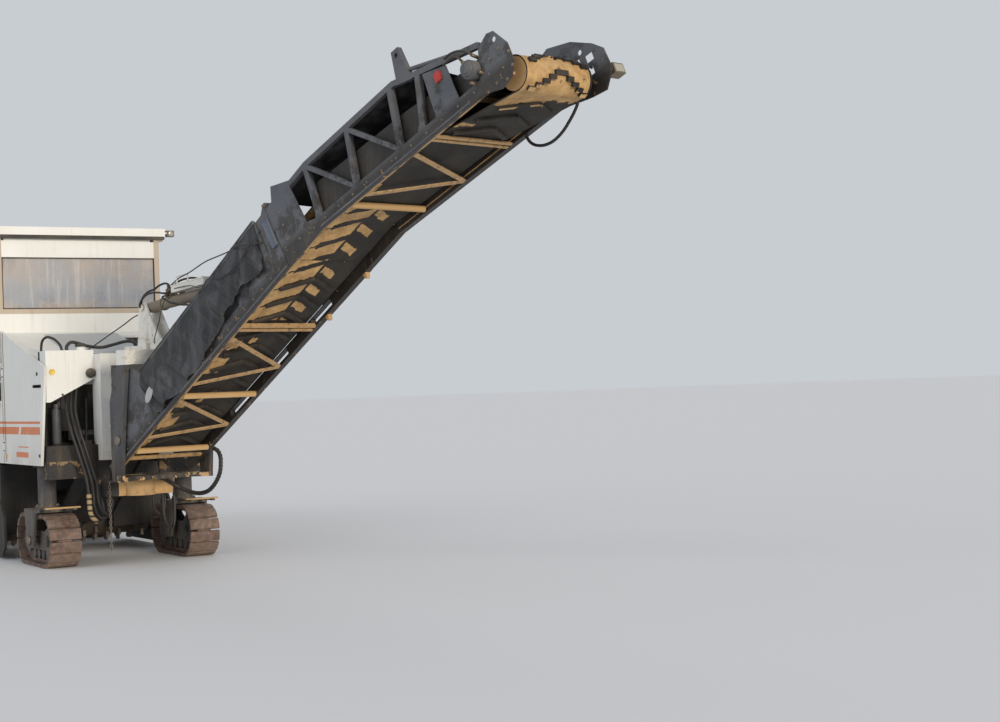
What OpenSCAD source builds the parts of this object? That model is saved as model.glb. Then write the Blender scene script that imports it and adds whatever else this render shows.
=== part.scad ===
// Cold planer: a road milling machine on four track units with a slewing front conveyor.
// Millimetres. +X is forward, +Y is left, +Z is up. The origin lies on the ground on the
// machine's centre line, midway between the front and rear track units.

/* [Tracks] */
// Distance between the front and rear steering columns
wheelbase = 3900; // [3500:50:4300]
// Distance between the middles of the left and right tracks
gauge = 1670; // [1600:10:1760]
// Length of one track loop over its shoes
track_l = 1400; // [1300:20:1480]
// Height of one track loop over its shoes
track_h = 610; // [560:10:640]
// Width of the track shoes
track_w = 360; // [300:10:380]
// Number of shoes on one loop
shoes = 24; // [18:1:26]
// Thickness of a track shoe
shoe_t = 34; // [20:1:40]

/* [Frame] */
// Half the width over the body panels
body_half = 1020; // [1000:5:1040]
// Underside of the main rails above the ground
rail_z = 1150; // [1130:5:1170]
// Height of the main rails
rail_h = 300; // [240:10:340]
// Radius of a steering column
column_r = 105; // [90:5:110]
// Radial play of a column in its sleeve
column_play = 3; // [1:0.5:5]
// Front end of the body panels
nose_x = 2630; // [2600:5:2640]
// Rear end of the engine bay
tail_x = -4180; // [-4400:20:-4100]

/* [Platform] */
// Front face of the windscreen
screen_x = 750; // [700:10:800]
// Top of the platform floor
floor_z = 1940; // [1900:10:1980]
// Top of the parapet, where the windscreen starts
parapet_z = 3005; // [2980:5:3060]
// Underside of the canopy roof
roof_z = 3980; // [3900:10:4050]
// Thickness of the canopy roof
roof_t = 100; // [80:5:140]
// Half the width of the canopy roof
roof_half = 1115; // [1100:5:1180]

/* [Milling drum] */
// Height of the drum's axis above the ground
drum_z = 560; // [545:5:575]
// Diameter over the tips of the cutting tools
drum_d = 980; // [900:10:1000]
// Width of the drum
drum_w = 1960; // [1900:10:1980]
// Cutting tools along one helix
tools = 20; // [12:1:24]

/* [Conveyor] */
// Slewing axis ahead of the origin
slew_x = 2800; // [2800:5:2830]
// Slewing angle to the left at rest
slew_rest = 12.7; // [0:0.1:20]
// Slope of the lower section at rest
lower_tilt = 31.5; // [25:0.5:33]
// Slope of the upper section at rest
upper_tilt = 22.2; // [16:0.2:24]
// Length of the lower section up to the fold
lower_l = 4000; // [3800:20:4200]
// Length from the fold to the bend in the upper section
bend_l = 600; // [560:10:660]
// Length of the upper section from the bend to the head drum
head_l = 2800; // [2700:20:3000]
// Half the width over the conveyor frame
frame_half = 536; // [520:2:540]
// Height of the conveyor's side walls at the fold
wall_h = 685; // [640:5:700]
// Height of the same walls at their low end
wall_low = 600; // [560:5:630]
// Half the width of the conveyor belt
belt_half = 400; // [360:5:420]
// Distance between the chevron cleats
cleat_pitch = 300; // [260:10:400]
// Width of a cleat
cleat_w = 44; // [30:2:60]
// Height of a cleat
cleat_h = 30; // [20:2:34]

/* [Hidden] */
$fn = 48;

// Main rails, their bridges and the front bearer
rail_in = 470;
rail_out = 590;
rail_top = rail_z + rail_h;
rail_rear = -4000;
rail_front = 2570;
bridge_z = 1560;
bridge_top = 1820;
beam_z = 1020;
beam_top = 1400;
bearer_z = 800;
bearer_top = 985;
post_in = 300;
post_out = 425;
post_x = 2640;
post_rear = 2500;
portal_z = 2300;
portal_top = 2440;
front_x0 = 2160;

// Hinge lines and fastening holes
scraper_x = -680;
scraper_z = 1060;
guard_y = 1060;
guard_x = 420;
rod_r = 15;
door_x = 810;
door_y = body_half + 4;
lash_x = 2675;
lash_y = 330;
lash_r = 30;
eye_r = 25;
tow_x = -4060;
tow_z = 1220;

// Steering columns and track chains
axle_x = wheelbase / 2;
track_y = gauge / 2;
column_bottom = track_h + 90;
column_top = 1600;
sleeve_r = column_r + 45;
sleeve_top = 1900;
track_chain = 44;

// Hood over the engine
hood_x0 = -1045;
hood_z0 = 2950;
hood_x1 = -3700;
hood_z1 = 2900;
sheet = 28;
end_z = 2300;

// Canopy posts, the sill under the glass and the band over it
post_y0 = 975;
post_y1 = 1040;
sill_h = 57;
band_bottom = roof_z - 276;
band_top = roof_z - 70;

// Conveyor inside the housing
prim_x0 = 720;
prim_z0 = 470;
prim_x1 = 2860;
prim_z1 = 1760;
prim_half = 285;
prim_len = sqrt(pow(prim_x1 - prim_x0, 2) + pow(prim_z1 - prim_z0, 2));
prim_tilt = atan2(prim_z1 - prim_z0, prim_x1 - prim_x0);

// Loading conveyor, measured along r from its slewing axis
tail_r = 293;
tail_z = 1065;
pivot_r = 550;
pivot_z = 1450;
chord_h = 120;
chord_w = 70;
plate_t = 10;
belt_t = 14;
seat = 0.3;
carry_v = 350;
return_v = 90;
head_carry_v = 190;
head_r = 150;
tail_drum_u = 400;
cyl_r0 = 334;
cyl_z0 = 2937;
head_x = 563;
head_z = 2290;
barrel_r = 62;
rod_eye_r = 34;
bar_u = 2954;
bar_v = 612;
bar_r = tail_r + bar_u * cos(lower_tilt) - bar_v * sin(lower_tilt);
bar_z = tail_z + bar_u * sin(lower_tilt) + bar_v * cos(lower_tilt);
bar_pin_r = 18;
cyl_len = sqrt(pow(bar_r - cyl_r0, 2) + pow(bar_z - cyl_z0, 2));
cyl_tilt = atan2(bar_z - cyl_z0, bar_r - cyl_r0);
bend_r = tail_r + (lower_l + bend_l) * cos(lower_tilt);
bend_z = tail_z + (lower_l + bend_l) * sin(lower_tilt);
fold_gap = 8;
fold_u = lower_l - 4;
fold_v = wall_h + 45;
fold_pin_r = 16;
side_in = frame_half - plate_t;
chord_in = frame_half - chord_w;
cheek_in = 555;
cheek_out = 600;
roller_r = 44;
shaft_r = 16;
head_v = head_carry_v - head_r;
wall_u = 1150;
skirt_t = 12;
skirt_in = chord_in - skirt_t;
fin_t = 12;
dip_u = 1700;
dip_v = 50;
bend = lower_tilt - upper_tilt;
carry_u0 = -carry_v * tan(bend / 2);
carry_fall = atan2(carry_v - head_carry_v, head_l - carry_u0);
return_fall = atan2(dip_v - head_v + head_r + belt_t, head_l - dip_u);
wrap_r = head_r * cos(return_fall);

// Routes of the hoses: over the right tank, and two that hang under the front beams
tank_hose = [[2380, -820, 2490], [2380, -820, 2550], [2386, -800, 2610], [2392, -750, 2645],
    [2398, -700, 2630], [2400, -655, 2590], [2400, -645, 2540], [2400, -645, 2490]];
frame_hose = [[2420, -640, beam_z], [2420, -640, 950], [2440, -630, 880], [2490, -610, 800],
    [2550, -585, 730], [2600, -560, 695], [2635, -530, 700], [2640, -505, 760],
    [2610, -490, 850], [2570, -482, 920], [2540, -480, 970], [2540, -480, beam_z]];
beam_hose = [[2480, 620, beam_z], [2480, 620, 940], [2500, 616, 850], [2540, 605, 785],
    [2580, 590, 765], [2600, 575, 800], [2590, 562, 870], [2560, 555, 930],
    [2540, 555, 970], [2540, 555, beam_z]];

c_white = "#e8e4d8";
c_slate = "#4d5560";
c_dark = "#2c2b29";
c_tan = "#b08a55";
c_belt = "#2a2521";
c_shoe = "#6d5848";
c_beige = "#cbb894";

// A box from its lowest to its highest corner
module block(x0, x1, y0, y1, z0, z1) {
    translate([x0, y0, z0]) cube([x1 - x0, y1 - y0, z1 - z0]);
}

// The same thing on both sides of the centre line
module both() {
    children();
    mirror([0, 1, 0]) children();
}

// A profile drawn in X and Z, made solid between two values of Y
module side_profile(y0, y1) {
    translate([0, y1, 0]) rotate([90, 0, 0]) linear_extrude(y1 - y0) children();
}

// A round bar across the machine
module cross_bar(x, z, r, y0, y1) {
    translate([x, y0, z]) rotate([-90, 0, 0]) cylinder(r = r, h = y1 - y0);
}

// The conveyor's own frame: X runs out along it, with the slewing axis as its Z axis
module at_slew() {
    translate([slew_x, 0, 0]) rotate([0, 0, slew_rest]) children();
}

module at_lower() {
    at_slew() translate([tail_r, 0, tail_z]) rotate([0, -lower_tilt, 0]) children();
}

module at_upper() {
    at_slew() translate([bend_r, 0, bend_z]) rotate([0, -upper_tilt, 0]) children();
}

// Main frame: rails, column sleeves, cross members and the bearer of the slewing pivot
module chassis() {
    color(c_dark) {
        both() {
            block(rail_rear, rail_front, rail_in, rail_out, rail_z, rail_top);
            for (x = [-axle_x, axle_x]) {
                difference() {
                    union() {
                        translate([x, track_y, rail_z])
                            cylinder(r = sleeve_r, h = sleeve_top - rail_z);
                        block(x - 130, x + 130, rail_out, track_y, rail_z + 30, rail_top - 30);
                        block(x - 100, x + 100, rail_in, track_y, bridge_z, bridge_top);
                    }
                    translate([x, track_y, rail_z - 1])
                        cylinder(r = column_r + column_play, h = sleeve_top - 60 - rail_z);
                }
                block(x - 100, x + 100, rail_in, rail_out, rail_top, bridge_z);
            }
            block(2350, rail_front, 400, 970, beam_z, beam_top);
            block(rail_front, post_x, post_in, post_out, bearer_z, beam_top);
            difference() {
                block(tow_x - 70, -3900, 35, 60, tow_z - 90, tow_z + 90);
                cross_bar(tow_x, tow_z, eye_r, 20, 80);
            }
        }
        for (x = [-axle_x, axle_x]) block(x - 100, x + 100, -rail_in, rail_in, bridge_z, bridge_top);
        block(-3900, -3780, -rail_in, rail_in, rail_z, rail_top);
        difference() {
            union() {
                block(rail_front - 10, slew_x - 10, -400, 400, bearer_z, bearer_top);
                translate([slew_x, 0, bearer_z]) cylinder(r = 170, h = bearer_top - bearer_z);
                translate([slew_x, 0, bearer_top]) cylinder(r = 60, h = 70);
            }
            for (s = [-1, 1])
                translate([lash_x, s * lash_y, bearer_z - 10]) cylinder(r = lash_r, h = 200);
        }
    }
}

// White posts and cross beam that carry the upper slewing pivot
module portal() {
    color(c_white) {
        both() side_profile(post_in, post_out) polygon([[post_x, 1220], [post_x, portal_z],
            [slew_x, portal_z], [slew_x, 1330], [slew_x - 60, 1220]]);
        both() block(post_rear, post_x, post_in, post_out, beam_top, portal_z);
        block(post_rear, slew_x, -post_out, post_out, portal_z, portal_top);
        translate([slew_x, 0, portal_z + 40]) cylinder(r = 140, h = 100);
        translate([slew_x, 0, portal_top]) cylinder(r = 45, h = 75);
    }
}

// Closed box over the milling drum, open below, behind and at the conveyor's mouth
module drum_housing() {
    color(c_dark) {
        difference() {
            side_profile(-1030, 1030) polygon([[-640, 420], [-640, rail_z], [640, rail_z],
                [640, 300], [560, 300], [500, 300], [500, 420]]);
            side_profile(-1000, 1000) polygon([[-700, 200], [-700, 1010], [-560, rail_z - 25],
                [520, rail_z - 25], [605, 1000], [605, 200]]);
            block(500, 700, -380, 380, 250, 800);
        }
        both() {
            side_profile(1000, 1030) polygon([[-640, 1000], [-730, 1030], [-730, 1095],
                [-640, rail_z]]);
            for (x = [-guard_x, guard_x]) difference() {
                union() {
                    translate([x, guard_y, 965]) cylinder(r = 28, h = 180);
                    block(x - 28, x + 28, 1030, guard_y, 965, 1145);
                }
                translate([x, guard_y, 960]) cylinder(r = rod_r + 2, h = 200);
            }
        }
        cross_bar(scraper_x, scraper_z, 13, -1000, 1000);
        cross_bar(0, drum_z, 60, -1030, 1030);
    }
}

// Cutting drum with its helices of picks
module milling_drum() {
    core_r = drum_d / 2 - 90;
    color(c_tan) difference() {
        union() {
            cross_bar(0, drum_z, core_r, -drum_w / 2, drum_w / 2);
            for (side = [-1, 1], start = [0, 1, 2, 3], i = [0 : tools - 1]) {
                turn = i * 27 + start * 90;
                y = side * (i + 0.5) * (drum_w / 2 - 60) / tools;
                translate([0, y, drum_z]) rotate([0, turn, 0]) translate([core_r - 12, -18, -26])
                    rotate([0, 24 , 0]) cube([80, 36, 52]);
            }
        }
        cross_bar(0, drum_z, 62, -drum_w, drum_w);
    }
}

// Hinged wall behind the drum with its wear edge
module scraper_door() {
    color(c_dark) difference() {
        union() {
            block(-695, -660, -985, 985, 240, scraper_z);
            for (y = [-800, -300, 300, 800]) block(-720, -695, y - 30, y + 30, 300, scraper_z - 40);
            cross_bar(scraper_x, scraper_z, 34, -985, 985);
        }
        cross_bar(scraper_x, scraper_z, 16, -990, 990);
    }
}

// Plate that runs along the cut edge, raised by two short cylinders
module side_plate() {
    color(c_dark) {
        side_profile(1045, 1075) polygon([[-880, 120], [-780, 40], [780, 40], [900, 160],
            [900, 520], [760, 700], [-700, 700], [-880, 560]]);
        for (x = [-guard_x, guard_x]) translate([x, guard_y, 700]) cylinder(r = rod_r, h = 310);
    }
}

module side_plate_right() mirror([0, 1, 0]) side_plate();
module side_plate_left() side_plate();

// Frame of the conveyor that lifts the millings out of the drum housing
module at_primary() {
    translate([prim_x0, 0, prim_z0]) rotate([0, -prim_tilt, 0]) children();
}

module primary_conveyor() {
    color(c_slate) at_primary() {
        both() block(-60, prim_len + 40, prim_half - 15, prim_half, -110, 150);
        for (u = [200 : 320 : 2200]) block(u, u + 60, 15 - prim_half, prim_half - 15, -20, 20);
    }
}

module primary_belt() {
    color(c_belt) at_primary() side_profile(15 - prim_half + 10, prim_half - 25) difference() {
        union() {
            translate([0, -86]) square([prim_len, 172]);
            circle(r = 86);
            translate([prim_len, 0]) circle(r = 86);
        }
        translate([0, -74]) square([prim_len, 148]);
        circle(r = 74);
        translate([prim_len, 0]) circle(r = 74);
    }
}

// Outline of a track loop from the side, over or inside its shoes
module loop_outline(inset) {
    r = track_h / 2 - inset;
    half = (track_l - track_h) / 2;
    translate([-half, -r]) square([2 * half, 2 * r]);
    for (x = [-half, half]) translate([x, 0]) circle(r = r);
}

// Place of a shoe on the loop: how far along it, and which way it faces
function loop_at(s) =
    let (r = track_h / 2 - shoe_t, half = (track_l - track_h) / 2, flat = 2 * half,
         arc = PI * r)
    s < flat ? [s - half, -r, -90] :
    s < flat + arc ? [half + r * sin((s - flat) / r * 180 / PI),
                      -r * cos((s - flat) / r * 180 / PI), (s - flat) / r * 180 / PI - 90] :
    s < 2 * flat + arc ? [half - (s - flat - arc), r, 90] :
    [-half - r * sin((s - 2 * flat - arc) / r * 180 / PI),
     r * cos((s - 2 * flat - arc) / r * 180 / PI), 90 + (s - 2 * flat - arc) / r * 180 / PI];

// One fixed loop: chain band and shoes in a single outline
module track_loop() {
    r = track_h / 2 - shoe_t;
    run = 2 * (track_l - track_h) + 2 * PI * r;
    color(c_shoe) translate([0, 0, track_h / 2]) {
        side_profile(-track_w / 2, track_w / 2) intersection() {
            loop_outline(0);
            for (i = [0 : shoes - 1]) {
                p = loop_at((i + 0.5) * run / shoes);
                translate([p[0], p[1]]) rotate(p[2])
                    translate([-8, -run / shoes * 0.44]) square([shoe_t + 30, run / shoes * 0.88]);
            }
        }
        side_profile(-80, 80) difference() {
            loop_outline(shoe_t);
            loop_outline(shoe_t + track_chain);
        }
    }
}

// Steering column with its fork, and the track frame that hangs in it
module leg() {
    half = (track_l - track_h) / 2;
    wheel_r = track_h / 2 - shoe_t - track_chain - 1;
    color(c_slate) {
        translate([0, 0, column_bottom - 30]) cylinder(r = column_r, h = column_top - column_bottom + 30);
        translate([0, 0, column_bottom - 60]) cylinder(r = column_r + 35, h = 60);
        block(-230, 230, -track_w / 2 - 35, track_w / 2 + 35, track_h + 15, track_h + 55);
        both() side_profile(track_w / 2 + 10, track_w / 2 + 35)
            polygon([[-230, track_h + 55], [230, track_h + 55], [120, 230], [-120, 230]]);
        cross_bar(0, track_h / 2, 45, -track_w / 2 - 45, track_w / 2 + 45);
    }
    color(c_dark) {
        both() side_profile(95, 125) translate([0, track_h / 2]) {
            translate([-half, -110]) square([2 * half, 220]);
            for (x = [-half, half]) translate([x, 0]) circle(r = 150);
        }
        for (x = [-half, half]) cross_bar(x, track_h / 2, wheel_r, -78, 78);
        for (x = [-half, half]) cross_bar(x, track_h / 2, 40, -95, 95);
        for (x = [-260, -90, 90, 260])
            cross_bar(x, shoe_t + track_chain + 61, 60, -95, 95);
    }
}

module place_fr() translate([axle_x, -track_y, 0]) children();
module place_fl() translate([axle_x, track_y, 0]) children();
module place_rr() translate([-axle_x, -track_y, 0]) children();
module place_rl() translate([-axle_x, track_y, 0]) children();

// Height of the body's sloping top edge at a place along the machine
function top_edge(x) = 2305 + (nose_x - x) * 0.268;

// Sloping deck ahead of the platform and the fixed inner walls
module nose() {
    x0 = screen_x + 40;
    color(c_white) {
        difference() {
            side_profile(-985, 985) polygon([[x0, top_edge(x0) - 60], [x0, top_edge(x0) - 30],
                [front_x0, top_edge(front_x0) - 30], [front_x0, top_edge(front_x0) - 60]]);
            block(1000, 1860, 430, 690, parapet_z - 1000, parapet_z);
        }
        side_profile(-640, 640) polygon([[axle_x - 30, bridge_top],
            [axle_x - 30, top_edge(axle_x - 30) - 60], [axle_x, top_edge(axle_x) - 60],
            [axle_x, bridge_top]]);
    }
}

// White front tanks with a slanting underside
module front_tanks() {
    color(c_white) both() {
        difference() {
            block(front_x0, rail_front, post_out, 985, 1900, 2490);
            translate([front_x0 - 5, 0, 0]) rotate([90, 0, 90]) linear_extrude(420)
                polygon([[post_out - 5, 1890], [post_out - 5, 2160], [960, 1890]]);
        }
        translate([2470, 540, 2490]) cylinder(r = 55, h = 40);
    }
}

// Side doors of the body, hinged at their rear edge
module side_door() {
    color(c_white) {
        side_profile(990, body_half) polygon([[825, 1175], [825, top_edge(825)],
            [nose_x, top_edge(nose_x)], [2385, 1175]]);
        for (z = [1300, 2200]) {
            translate([door_x, door_y, z]) cylinder(r = 10, h = 160);
            block(door_x, door_x + 90, body_half, body_half + 8, z, z + 160);
        }
    }
}

module door_right() mirror([0, 1, 0]) side_door();
module door_left() side_door();

// Operator's platform: floor, parapet and side walls
module platform() {
    color(c_white) {
        difference() {
            block(-1000, screen_x + 40, -1100, 1100, floor_z - 40, parapet_z);
            block(-1100, screen_x, -1060, 1060, floor_z, parapet_z + 10);
            both() block(-960, -460, 1000, 1150, floor_z, parapet_z + 10);
            both() block(screen_x - 15, screen_x + 60, body_half, 1150, 1000, 2900);
        }
        both() {
            block(-1000, 795, 990, body_half, 1175, floor_z - 40);
            block(-1000, 795, rail_in, 600, rail_top, floor_z - 40);
            for (z = [1260, 1464, 2160, 2364]) {
                translate([door_x, door_y, z]) cylinder(r = 10, h = 36);
                block(760, door_x, body_half, body_half + 8, z, z + 36);
            }
        }
    }
}

// Four posts, the side rails between them and the sill under the glass
module canopy_posts() {
    color(c_beige) {
        both() {
            block(screen_x, screen_x + 45, post_y0, post_y1, parapet_z, roof_z);
            block(screen_x, screen_x + 45, post_y1, 1096, roof_z - 60, roof_z);
            block(-1000, -960, 1060, 1100, parapet_z, roof_z);
            block(-960, screen_x, 1062, 1096, roof_z - 60, roof_z);
        }
        block(screen_x, screen_x + 45, -post_y0, post_y0, parapet_z, parapet_z + sill_h);
    }
}

// Roof slab with the white band over the glass and a lamp at each front corner
module canopy_roof() {
    color(c_white) {
        block(-1050, screen_x + 90, -roof_half, roof_half, roof_z, roof_z + roof_t);
        block(screen_x + 5, screen_x + 40, -post_y0 + 1, post_y0 - 1, band_bottom, band_top);
        block(screen_x + 5, screen_x + 15, 40 - post_y0, post_y0 - 40, band_top, roof_z);
        both() {
            block(screen_x + 15, screen_x + 80, roof_half, roof_half + 30, roof_z + 35, roof_z + 55);
            block(screen_x + 10, screen_x + 85, roof_half + 30, roof_half + 125, roof_z,
                roof_z + 80);
        }
    }
}

module windscreen() {
    color("#9aa3a0", 0.5)
        block(screen_x + 18, screen_x + 26, 1 - post_y0, post_y0 - 1, parapet_z + sill_h,
            band_bottom);
}

// Two control desks behind the parapet
module consoles() {
    color(c_dark) both() side_profile(420, 1000)
        polygon([[400, floor_z], [400, 2780], [520, 2960], [740, 2960], [740, floor_z]]);
}

module seats() {
    color(c_dark) both() {
        translate([-150, 700, floor_z]) cylinder(r = 60, h = 420);
        block(-400, 100, 460, 940, floor_z + 420, floor_z + 540);
        block(-480, -380, 480, 920, floor_z + 540, floor_z + 1040);
    }
}

// Steps up to the platform on both sides
module ladders() {
    color(c_dark) both() {
        for (x = [-950, -500]) block(x, x + 40, 1110, 1230, 620, floor_z);
        for (z = [640 : 300 : 1900]) block(-910, -500, 1110, 1230, z, z + 30);
        for (x = [-950, -500]) block(x, x + 40, body_half, 1110, 1500, 1560);
    }
}

module engine_block() {
    color(c_dark) block(-3700, -axle_x - 130, -rail_in, rail_in, rail_z + 20, 2500);
}

// Rear body: side walls, floor strips and end wall round the engine
module engine_bay() {
    color(c_white) {
        both() side_profile(990, body_half) polygon([[-1010, 1175], [-1010, 2780],
            [-3860, 2652], [tail_x + 50, end_z], [tail_x + 30, end_z], [tail_x + 30, 1300],
            [-2900, 1175]]);
        difference() {
            block(tail_x, tail_x + 30, -body_half, body_half, 1300, end_z);
            block(tail_x - 20, tail_x + 80, -760, 760, 1420, 2200);
        }
        block(-1040, -1010, -990, 990, floor_z, 2780);
        both() block(tail_x + 30, tail_x + 180, rail_in, 990, 1300, 1340);
        both() for (x = [-3800, -2900, -1400]) block(x, x + 60, rail_out, 990, 1200, 1260);
    }
}

// Rear hood, hinged at its front edge
module engine_hood() {
    color(c_white) {
        side_profile(-body_half, body_half) polygon([[hood_x0, 2800], [hood_x0, hood_z0],
            [hood_x1, hood_z1], [tail_x, end_z + 10], [tail_x + sheet, end_z + 10],
            [hood_x1 + 12, hood_z1 - 24],
            [hood_x0 - 25, hood_z0 - 22], [hood_x0 - 25, 2800]]);
        both() side_profile(990, body_half) polygon([[hood_x0 - 5, 2790],
            [hood_x0 - 5, hood_z0 - 6], [hood_x1, hood_z1 - 8], [tail_x + 20, end_z + 26],
            [tail_x + 50, end_z + 30], [-3850, 2672]]);
    }
}

module radiator_grille() {
    color(c_dark) for (z = [1440 : 60 : 2180]) block(tail_x + 2, tail_x + 28, -755, 755, z, z + 25);
}

module exhaust() {
    fall = (hood_z0 - hood_z1) / (hood_x0 - hood_x1);
    color(c_dark) difference() {
        translate([-1300, 700, 2900]) cylinder(r = 70, h = 360);
        translate([-1300, 700, 3000]) cylinder(r = 62, h = 270);
        side_profile(600, 800) polygon([[-1500, 2800], [-1500, hood_z0 + seat - fall * 455],
            [-1100, hood_z0 + seat - fall * 55], [-1100, 2800]]);
    }
}

// Turning frame at the conveyor's tail, pinned to the bearer below and the portal above
module slew_frame() {
    color(c_slate) at_slew() {
        difference() {
            union() {
                translate([0, 0, bearer_top + 5]) cylinder(r = 150, h = 50);
                translate([0, 0, bearer_top + 5]) linear_extrude(50) polygon([[0, -150],
                    [400, -cheek_out], [600, -cheek_out], [600, -cheek_in], [430, -350],
                    [430, 350], [600, cheek_in], [600, cheek_out], [400, cheek_out], [0, 150]]);
            }
            translate([0, 0, bearer_top]) cylinder(r = 61, h = 80);
        }
        both() side_profile(cheek_in, cheek_out) difference() {
            polygon([[400, bearer_top + 55], [400, 1880], [470, 2080], [head_x, head_z],
                [760, head_z], [700, 1900], [640, 1500], [600, bearer_top + 55]]);
            translate([pivot_r, pivot_z]) circle(r = 42);
        }
    }
    color(c_white) at_slew() {
        difference() {
            union() {
                translate([0, 0, 2450]) cylinder(r = 130, h = 60);
                block(0, 700, -120, 120, 2450, 2510);
                block(head_x, 760, -cheek_out, cheek_out, head_z, 2450);
                block(500, 760, -120, 120, 2450, 2560);
            }
            translate([0, 0, 2445]) cylinder(r = 46, h = 100);
        }
        both() side_profile(70, 95) difference() {
            polygon([[200, 2510], [255, 2900], [290, 2990], [370, 3000], [430, 2900], [560, 2700],
                [700, 2560], [700, 2510]]);
            translate([cyl_r0, cyl_z0]) circle(r = 26);
        }
    }
}

// Hydraulic cylinder that holds the conveyor up, with its valves and a cover box on top
module lift_barrel() {
    color(c_tan) at_slew() translate([cyl_r0, 0, cyl_z0]) rotate([0, -cyl_tilt, 0]) {
        cross_bar(0, 0, 25, -110, 110);
        cross_bar(0, 0, 55, -60, 60);
        difference() {
            translate([40, 0, 0]) rotate([0, 90, 0]) cylinder(r = barrel_r, h = 1300);
            translate([200, 0, 0]) rotate([0, 90, 0]) cylinder(r = 36, h = 1300);
        }
        for (u = [650, 1130]) block(u, u + 40, -30, 30, barrel_r - 6, 82);
        block(590, 1230, -85, 85, 82, 165);
        block(420, 520, -45, 45, barrel_r - 8, 150);
    }
}

module lift_rod() {
    color("#b9bcc0") at_slew() translate([cyl_r0, 0, cyl_z0]) rotate([0, -cyl_tilt, 0]) {
        translate([700, 0, 0]) rotate([0, 90, 0]) cylinder(r = 33, h = cyl_len - 700 - 40);
        difference() {
            cross_bar(cyl_len, 0, 60, -45, 45);
            cross_bar(cyl_len, 0, rod_eye_r, -50, 50);
        }
    }
}

// Height of the lower section's side walls, which taper towards their low end
function wall_at(u) = wall_low + (wall_h - wall_low) * (u - wall_u) / (lower_l - wall_u);

// Side wall of the lower section from the side, with its tail plate and windows
module lower_wall() {
    difference() {
        polygon([[0, 0], [lower_l - fold_gap, 0], [lower_l - fold_gap, wall_h],
            [wall_u, wall_low], [1010, 760], [870, 850], [545, 690], [450, 520]]);
        for (w = [[2700, 550], [2000, 550], [1280, 380]])
            translate([lower_l - w[0], 160]) square([w[1], 340]);
    }
}

// Bar along the top of the lower section's wall
module top_bar(u0, u1, w) {
    side_profile(side_in - w, side_in) polygon([[u0, wall_at(u0) - w], [u1, wall_at(u1) - w],
        [u1, wall_at(u1)], [u0, wall_at(u0)]]);
}

// A flat bar between two points, seen from above
module brace(p, q, w, v0, v1) {
    d = q - p;
    translate([p[0], p[1], v0]) rotate([0, 0, atan2(d[1], d[0])])
        translate([0, -w / 2, 0]) cube([norm(d), w, v1 - v0]);
}

// A bar between two points of a side view
module strut(p, q, w) {
    d = q - p;
    translate(p) rotate(atan2(d[1], d[0])) translate([0, -w / 2]) square([norm(d), w]);
}

// Round end of a fold hinge with its arm
module fold_lug(arm) {
    translate([fold_u, fold_v]) circle(r = 34);
    polygon(arm);
}

// Lower conveyor section: two walls on box chords, tied by bars and diagonals
module lower_frame() {
    color(c_slate) at_lower() {
        difference() {
            both() {
                side_profile(side_in, frame_half) lower_wall();
                block(0, lower_l - fold_gap, chord_in, side_in, 0, chord_h);
            }
            for (w = [[2900, 410], [2000, 380], [1100, 400]])
                block(lower_l - w[0], lower_l - w[0] + w[1], chord_in - 10, frame_half + 10, 35, 110);
        }
        both() {
            top_bar(wall_u + 100, lower_l - fold_gap, 50);
            for (w = [2080, 1380, 800, 100])
                block(lower_l - w, lower_l - w + 50, side_in - 40, side_in, chord_h, wall_low - 40);
            side_profile(side_in - 20, side_in) fold_lug([[fold_u - 116, wall_h - 5],
                [fold_u - 21, fold_v + 28], [fold_u + 14, fold_v - 30], [fold_u - 4, wall_h]]);
            cross_bar(fold_u, fold_v, fold_pin_r, side_in - 50, side_in);
        }
        block(310, 350, -chord_in, chord_in, 0, 30);
        for (u = [2850, 2915]) block(u, u + 30, -chord_in, chord_in, 0, 40);
        for (d = [[776, 980, 0], [1530, 980, 2], [1852, 2160, 0], [2710, 2160, 2]])
            brace([d[0], -chord_in], [d[1], chord_in], 50, d[2], 14 - d[2]);
    }
    color(c_slate) at_slew() {
        both() cross_bar(pivot_r, pivot_z, 40, frame_half, cheek_out + 4);
        both() cross_bar(bar_r, bar_z, 38, 60, side_in);
        cross_bar(bar_r, bar_z, bar_pin_r, -60, 60);
    }
}

// Underside of the upper section's carrying run
function carry_at(u) = carry_v - (u - carry_u0) * tan(carry_fall);

// Points of the fold's side in the upper section's frame: s from the bend, v above the frame
function low_pt(s, v) = [s * cos(bend) - v * sin(bend), s * sin(bend) + v * cos(bend)];
function bent(v) = [-v * tan(bend / 2), v];

// Chevron of two bars on the belt: open towards the head above, and the other way below
module cleat(u, v, under, fall) {
    arm = belt_half - 30;
    translate([u, 0, v]) rotate([0, fall, 0]) for (s = [-1, 1])
        rotate([0, 0, s * (under ? 120 : 60)])
            translate([0, -cleat_w / 2, under ? -cleat_h : 0]) cube([arm, cleat_w, cleat_h]);
}

module lower_belt() {
    mid_v = (carry_v + return_v) / 2;
    r = (carry_v - return_v) / 2;
    color(c_belt) at_lower() {
        side_profile(-belt_half, belt_half) difference() {
            union() {
                translate([tail_drum_u, mid_v]) circle(r = r + belt_t);
                translate([tail_drum_u, return_v - belt_t])
                    square([lower_l - fold_gap - tail_drum_u, 2 * r + 2 * belt_t]);
            }
            translate([tail_drum_u, mid_v]) circle(r = r);
            translate([tail_drum_u, return_v]) square([lower_l, 2 * r]);
        }
        for (u = [500 : cleat_pitch : lower_l - 400]) {
            cleat(u, carry_v + belt_t - 1, false, 0);
            cleat(u + 200, return_v - belt_t + 1, true, 0);
        }
    }
}

// A roller with the ends of its shaft in the two walls
module roller(u, v, r, half, reach) {
    cross_bar(u, v, r, -half, half);
    cross_bar(u, v, shaft_r, -reach, reach);
}

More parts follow.
